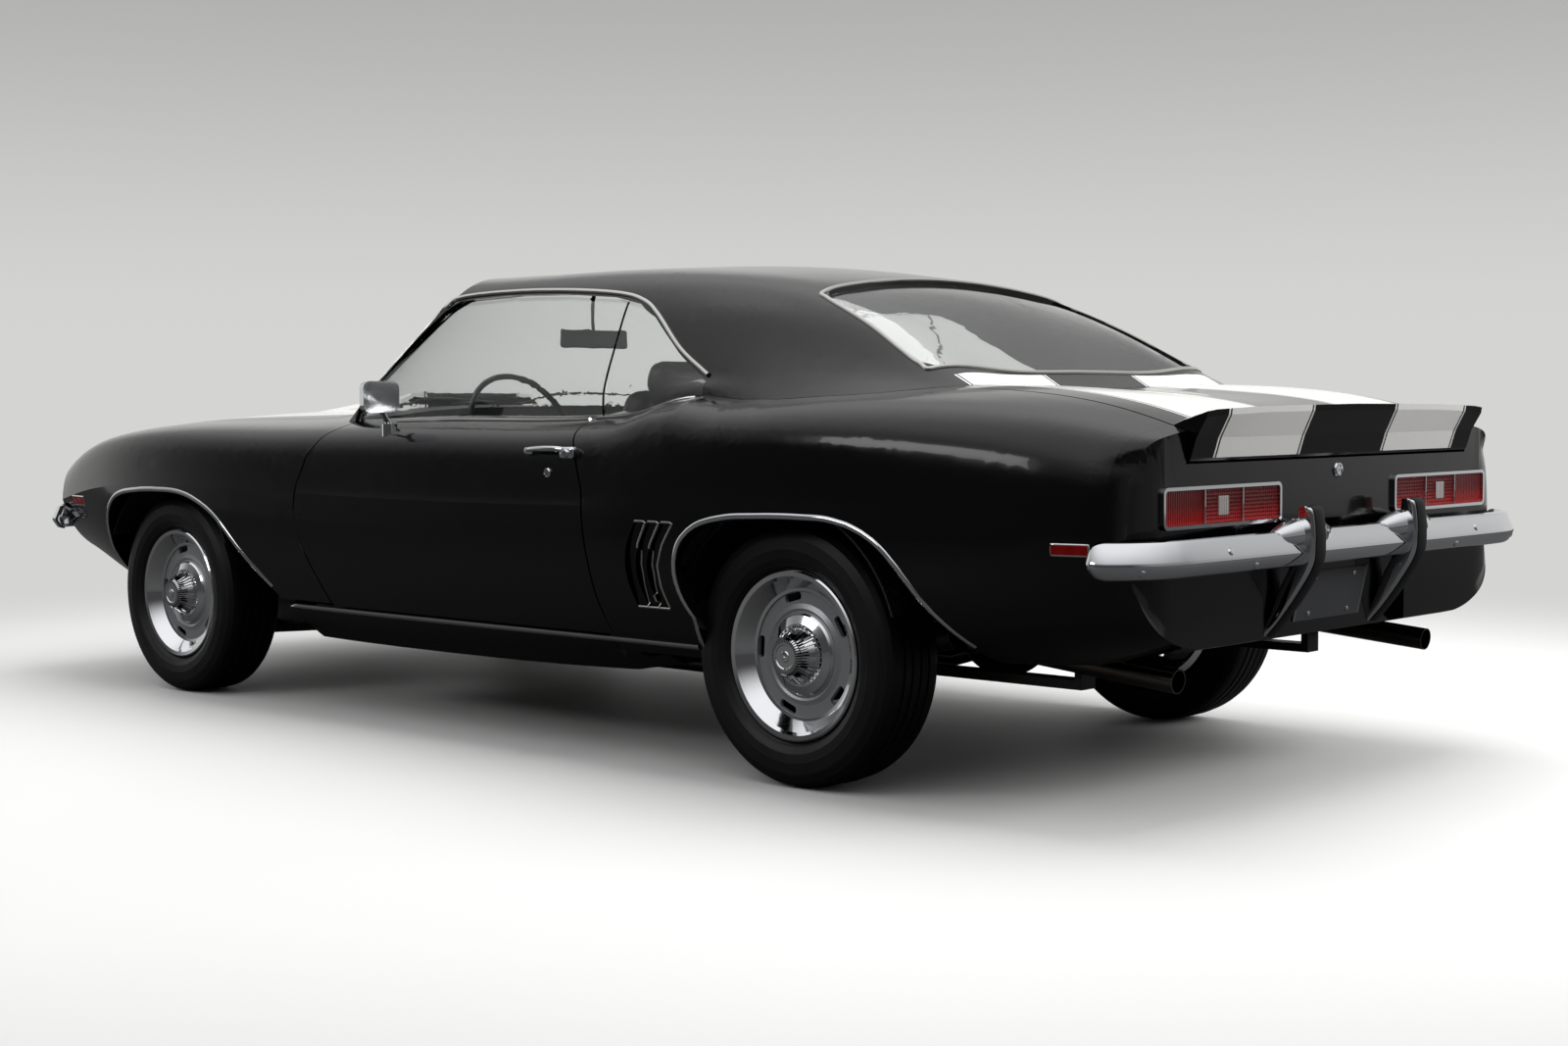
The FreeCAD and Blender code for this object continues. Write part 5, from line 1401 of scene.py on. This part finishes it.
class CAR_OT_door_furniture(bpy.types.Operator):
    """Armrests and window winders on the door linings"""
    bl_idname = "muscle_car.door_furniture"
    bl_label = "Door furniture"

    def execute(self, context):
        rest = block("armrest", (-0.36, 0.652, 0.645), (-0.02, 0.727, 0.695), 0.018, 5)
        inset_top(rest, 0.012, -0.004)
        on_both_sides(rest, "armrest", DOORS, *VINYL)
        hub = turned("hub", (0.12, 0.7265, 0.60), (0, -1, 0), [(0, 0), (0.024, 0), (0.022, 0.012), (0.012, 0.022),
                                                             (0, 0.023)], 32)
        arm = tube("arm", [(0.12, 0.712, 0.60), (0.08, 0.704, 0.575), (0.03, 0.700, 0.545)], [0.007, 0.005, 0.006])
        grip = turned("grip", (0.03, 0.704, 0.545), (0, -1, 0), [(0, 0), (0.008, 0), (0.013, 0.010), (0.013, 0.026),
                                                              (0.008, 0.034), (0, 0.035)], 24)
        on_both_sides(joined([hub, arm, grip], "winder"), "winder", DOORS, *CHROME)
        return {"FINISHED"}


class CAR_OT_door_handles(bpy.types.Operator):
    """Pull-up handles with a push button housing, and the lock below"""
    bl_idname = "muscle_car.door_handles"
    bl_label = "Door handles"

    def execute(self, context):
        def skin(x, z, out=0.0):
            return left_skin(["door_left"], x, z)[0] + Vector((0, out, 0))

        foot = skin(-0.432, 0.807)
        seat = skin(-0.598, 0.805)
        lever = [skin(-0.418, 0.810, 0.010), skin(-0.448, 0.812, 0.020), skin(-0.508, 0.814, 0.025),
                 skin(-0.558, 0.814, 0.025), skin(-0.584, 0.812, 0.020)]
        pieces = [
            block("foot", foot + Vector((-0.016, -0.003, -0.010)), foot + Vector((0.016, 0.015, 0.010)), 0.006, 4),
            block("housing", seat + Vector((-0.026, -0.004, -0.017)), seat + Vector((0.028, 0.022, 0.015)), 0.009, 5),
            tube("lever", lever, [0.004, 0.0065, 0.0080, 0.0080, 0.0070], 32, 14),
            turned("button", seat + Vector((-0.004, 0.020, -0.002)), (0, 1, 0),
                   [(0, 0), (0.011, 0), (0.011, 0.006), (0.008, 0.009), (0, 0.009)], 32),
            turned("lock", skin(-0.511, 0.751, -0.002), (0, 1, 0),
                   [(0, 0), (0.013, 0), (0.013, 0.005), (0.010, 0.008), (0.009, 0.006), (0, 0.006)], 32),
        ]
        piece = joined(pieces, "shaped_door_handle")
        on_both_sides(piece, "shaped_door_handle", DOORS, *CHROME)
        for side in ("left", "right"):
            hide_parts("door_handle_" + side)
        return {"FINISHED"}


class CAR_OT_engine_dress(bpy.types.Operator):
    """Air cleaner, valve covers, battery, hoses and fan under the hood"""
    bl_idname = "muscle_car.engine_dress"
    bl_label = "Engine dress"

    def execute(self, context):
        covers = []
        for side in (1, -1):
            cover = block("cover", (0.975, side * 0.235 - 0.06, 0.698), (1.405, side * 0.235 + 0.06, 0.765), 0.016, 4)
            inset_top(cover, 0.016, lift=0.010)
            covers.append(cover)
        finish(joined(covers, "valve_covers"), "body", *CHROME)
        lid = [(0, 0), (0.176, 0), (0.180, 0.004), (0.180, 0.008), (0.166, 0.012), (0.150, 0.020), (0.060, 0.022),
               (0.018, 0.026), (0.012, 0.034), (0, 0.035)]
        cleaner = turned("air_cleaner", (1.19, 0, 0.789), (0, 0, 1), lid, 64)
        finish(cleaner, "body", *CHROME)
        battery = block("battery", (1.72, -0.44, 0.50), (1.86, -0.24, 0.69), 0.008, 3)
        inset_top(battery, 0.012, -0.005)
        tray = block("tray", (1.70, -0.4735, 0.490), (1.88, -0.22, 0.503), 0.003, 2)
        finish(joined([battery, tray], "battery"), "body", *PLASTIC)
        hoses = [tube("hose", [(1.902, 0.20, 0.66), (1.84, 0.20, 0.70), (1.70, 0.10, 0.715), (1.55, 0.05, 0.68),
                               (1.478, 0.02, 0.60)], 0.021, 40, 16),
                 tube("hose", [(1.902, -0.18, 0.33), (1.80, -0.18, 0.34), (1.62, -0.12, 0.36), (1.478, -0.08, 0.38)],
                      0.021, 40, 16)]
        finish(joined(hoses, "coolant_hoses"), "body", *RUBBER)
        fan_parts = [turned("fan_hub", (1.4795, 0, 0.52), (1, 0, 0), [(0, 0), (0.045, 0), (0.045, 0.05), (0.03, 0.07),
                                                                   (0, 0.07)], 32)]
        for k in range(5):
            blade = block("blade", (1.522, -0.030, 0.55), (1.528, 0.030, 0.685), 0.002, 1)
            turn_about(blade, (1.525, 0, 0.6), (0, 0, 1), 28)
            turn_about(blade, (1.525, 0, 0.52), (1, 0, 0), 72 * k)
            fan_parts.append(blade)
        finish(joined(fan_parts, "fan"), "body", *SATIN)
        return {"FINISHED"}


class CAR_OT_stage(bpy.types.Operator):
    """Pale floor, pale backdrop, soft lamps and the camera"""
    bl_idname = "muscle_car.stage"
    bl_label = "Stage"

    def execute(self, context):
        settings = context.scene.car_stage
        backdrop = (*settings.backdrop, 1.0)
        deselect()
        bpy.ops.mesh.primitive_circle_add(vertices=128, radius=FLOOR_RADIUS, fill_type="NGON")
        bpy.ops.object.mode_set(mode="EDIT")
        bpy.ops.mesh.select_all(action="SELECT")
        bpy.ops.mesh.inset(thickness=6.0)
        bpy.ops.object.mode_set(mode="OBJECT")
        ground = context.object
        ground.name = "studio_floor"
        # Poured epoxy floor, pale and matt, which runs out into the backdrop's colour
        look = Look("studio_floor", rough=0.55, specular=0.2)
        camera_ray = look.add("LightPath").outputs["Is Camera Ray"]
        pale = (*settings.floor, 1.0)
        lighter = tuple(min(1.0, c * 1.04) for c in settings.floor) + (1.0,)
        look.wire(base=look.blend(camera_ray, (0.05, 0.05, 0.05, 1.0), look.blend(look.noise(0.8), pale, lighter)))
        far = look.remap(look.length(look.x, look.y), 0.0, 1.0, *FLOOR_FADE, kind="SMOOTHSTEP")
        look.mix_with(look.both(far, camera_ray), look.add("Emission", {"Color": backdrop, "Strength": 1.0}))
        ground.data.materials.append(MATERIALS["studio_floor"])

        world = bpy.data.worlds.new("studio")
        context.scene.world = world
        world.use_nodes = True
        # A pale room: dark below the horizon except towards the backdrop, light above, a little paler behind the car
        room = Pattern(world.node_tree, "Generated")
        wall = room.both(room.remap(room.toward((0.687, -0.726, 0.0)), 0.0, 1.0, 0.05, 0.55, "SMOOTHSTEP"),
                         room.remap(room.z, 0.0, 1.0, 0.62, 0.30, "SMOOTHSTEP"))
        light = room.remap(room.z, 0.0, 1.0, 0.18, 0.85, "SMOOTHSTEP")
        light = room.blend(light, (0.055, 0.055, 0.056, 1.0), (1.0, 1.0, 1.01, 1.0))
        behind = room.remap(room.toward((-0.80, -0.60, 0.0)), 0.0, 0.2, 0.45, 0.95, "SMOOTHSTEP")
        light = room.blend(wall, room.blend(behind, light, (1.0, 1.0, 1.0, 1.0)), backdrop)
        # What the camera sees, straight or through glass, is the plain backdrop, darker higher up
        rays = room.add("LightPath").outputs
        seen = room.calc("MAXIMUM", rays["Is Camera Ray"], rays["Is Transmission Ray"])
        upper = tuple(c * 0.62 for c in settings.backdrop) + (1.0,)
        wash = room.blend(room.remap(room.z, 0.0, 1.0, 0.02, 0.22, "SMOOTHSTEP"), backdrop, upper)
        room.tree.links.new(room.blend(seen, light, wash), room.tree.nodes["Background"].inputs["Color"])

        for name, place, aim, size, power in (
                ("ceiling", (-0.4, -0.4, 3.6), (-0.4, -0.4, 0), (5.5, 3.2), settings.ceiling_power),
                ("rear", (-5.2, -1.6, 2.6), (-1.6, 0, 0.7), (3.0, 1.6), settings.rear_power),
                ("left", (1.6, 6.0, 3.2), (0.2, 0, 0.6), (3.0, 1.2), settings.side_power)):
            deselect()
            bpy.ops.object.light_add(type="AREA", location=place)
            lamp = context.object
            lamp.name = name + "_lamp"
            lamp.data.shape = "RECTANGLE"
            lamp.data.size, lamp.data.size_y = size
            lamp.data.energy = power
            lamp.visible_glossy = name == "left"
            lamp.rotation_euler = (Vector(aim) - Vector(place)).to_track_quat("-Z", "Y").to_euler()

        yaw, pitch, roll = (math.radians(a) for a in CAMERA_ANGLES)
        forward = Vector((math.cos(yaw) * math.cos(pitch), math.sin(yaw) * math.cos(pitch), math.sin(pitch)))
        right = Vector((math.sin(yaw), -math.cos(yaw), 0))
        up = right.cross(forward)
        right, up = right * math.cos(roll) + up * math.sin(roll), up * math.cos(roll) - right * math.sin(roll)
        bpy.ops.object.camera_add(location=CAMERA_PLACE)
        camera = context.object
        camera.rotation_euler = Matrix((right, up, -forward)).transposed().to_euler()
        camera.data.sensor_width = CAMERA_SENSOR
        camera.data.lens = CAMERA_LENS
        camera.data.clip_end = 200.0
        context.scene.camera = camera
        context.scene.view_settings.view_transform = "Standard"
        return {"FINISHED"}


class CAR_PT_panel(bpy.types.Panel):
    """Lists the car's operators and settings"""
    bl_idname = "CAR_PT_panel"
    bl_label = "Muscle car"
    bl_space_type = "VIEW_3D"
    bl_region_type = "UI"
    bl_category = "Muscle car"

    def draw(self, context):
        for group in (context.scene.car_paint, context.scene.car_trim, context.scene.car_stage):
            for key in group.__annotations__:
                self.layout.prop(group, key)
        for operator in OPERATORS:
            self.layout.operator(operator.bl_idname)


GROUPS = {"car_paint": PaintSettings, "car_trim": TrimSettings, "car_stage": StageSettings}
OPERATORS = [
    CAR_OT_finishes, CAR_OT_rear_body, CAR_OT_rocker_ends, CAR_OT_rear_bumper, CAR_OT_wheel_mouldings,
    CAR_OT_side_mouldings, CAR_OT_window_mouldings, CAR_OT_gill_strips, CAR_OT_tail_trim, CAR_OT_wipers,
    CAR_OT_front_seats, CAR_OT_rear_seat, CAR_OT_cabin_mirror, CAR_OT_controls, CAR_OT_door_furniture,
    CAR_OT_door_handles, CAR_OT_engine_dress, CAR_OT_stage,
]


def register():
    for name, group in GROUPS.items():
        bpy.utils.register_class(group)
        setattr(bpy.types.Scene, name, bpy.props.PointerProperty(type=group))
    for each in OPERATORS + [CAR_PT_panel]:
        bpy.utils.register_class(each)


def unregister():
    for each in reversed(OPERATORS + [CAR_PT_panel]):
        bpy.utils.unregister_class(each)
    for name, group in GROUPS.items():
        delattr(bpy.types.Scene, name)
        bpy.utils.unregister_class(group)


def main():
    register()
    bpy.ops.muscle_car.finishes()
    bpy.ops.muscle_car.rear_body()
    bpy.ops.muscle_car.rocker_ends()
    bpy.ops.muscle_car.rear_bumper()
    bpy.ops.muscle_car.wheel_mouldings()
    bpy.ops.muscle_car.side_mouldings()
    bpy.ops.muscle_car.window_mouldings()
    bpy.ops.muscle_car.gill_strips()
    bpy.ops.muscle_car.tail_trim()
    bpy.ops.muscle_car.wipers()
    bpy.ops.muscle_car.front_seats()
    bpy.ops.muscle_car.rear_seat()
    bpy.ops.muscle_car.cabin_mirror()
    bpy.ops.muscle_car.controls()
    bpy.ops.muscle_car.door_furniture()
    bpy.ops.muscle_car.door_handles()
    bpy.ops.muscle_car.engine_dress()
    bpy.ops.muscle_car.stage()
    deselect()


if __name__ == "__main__":
    main()
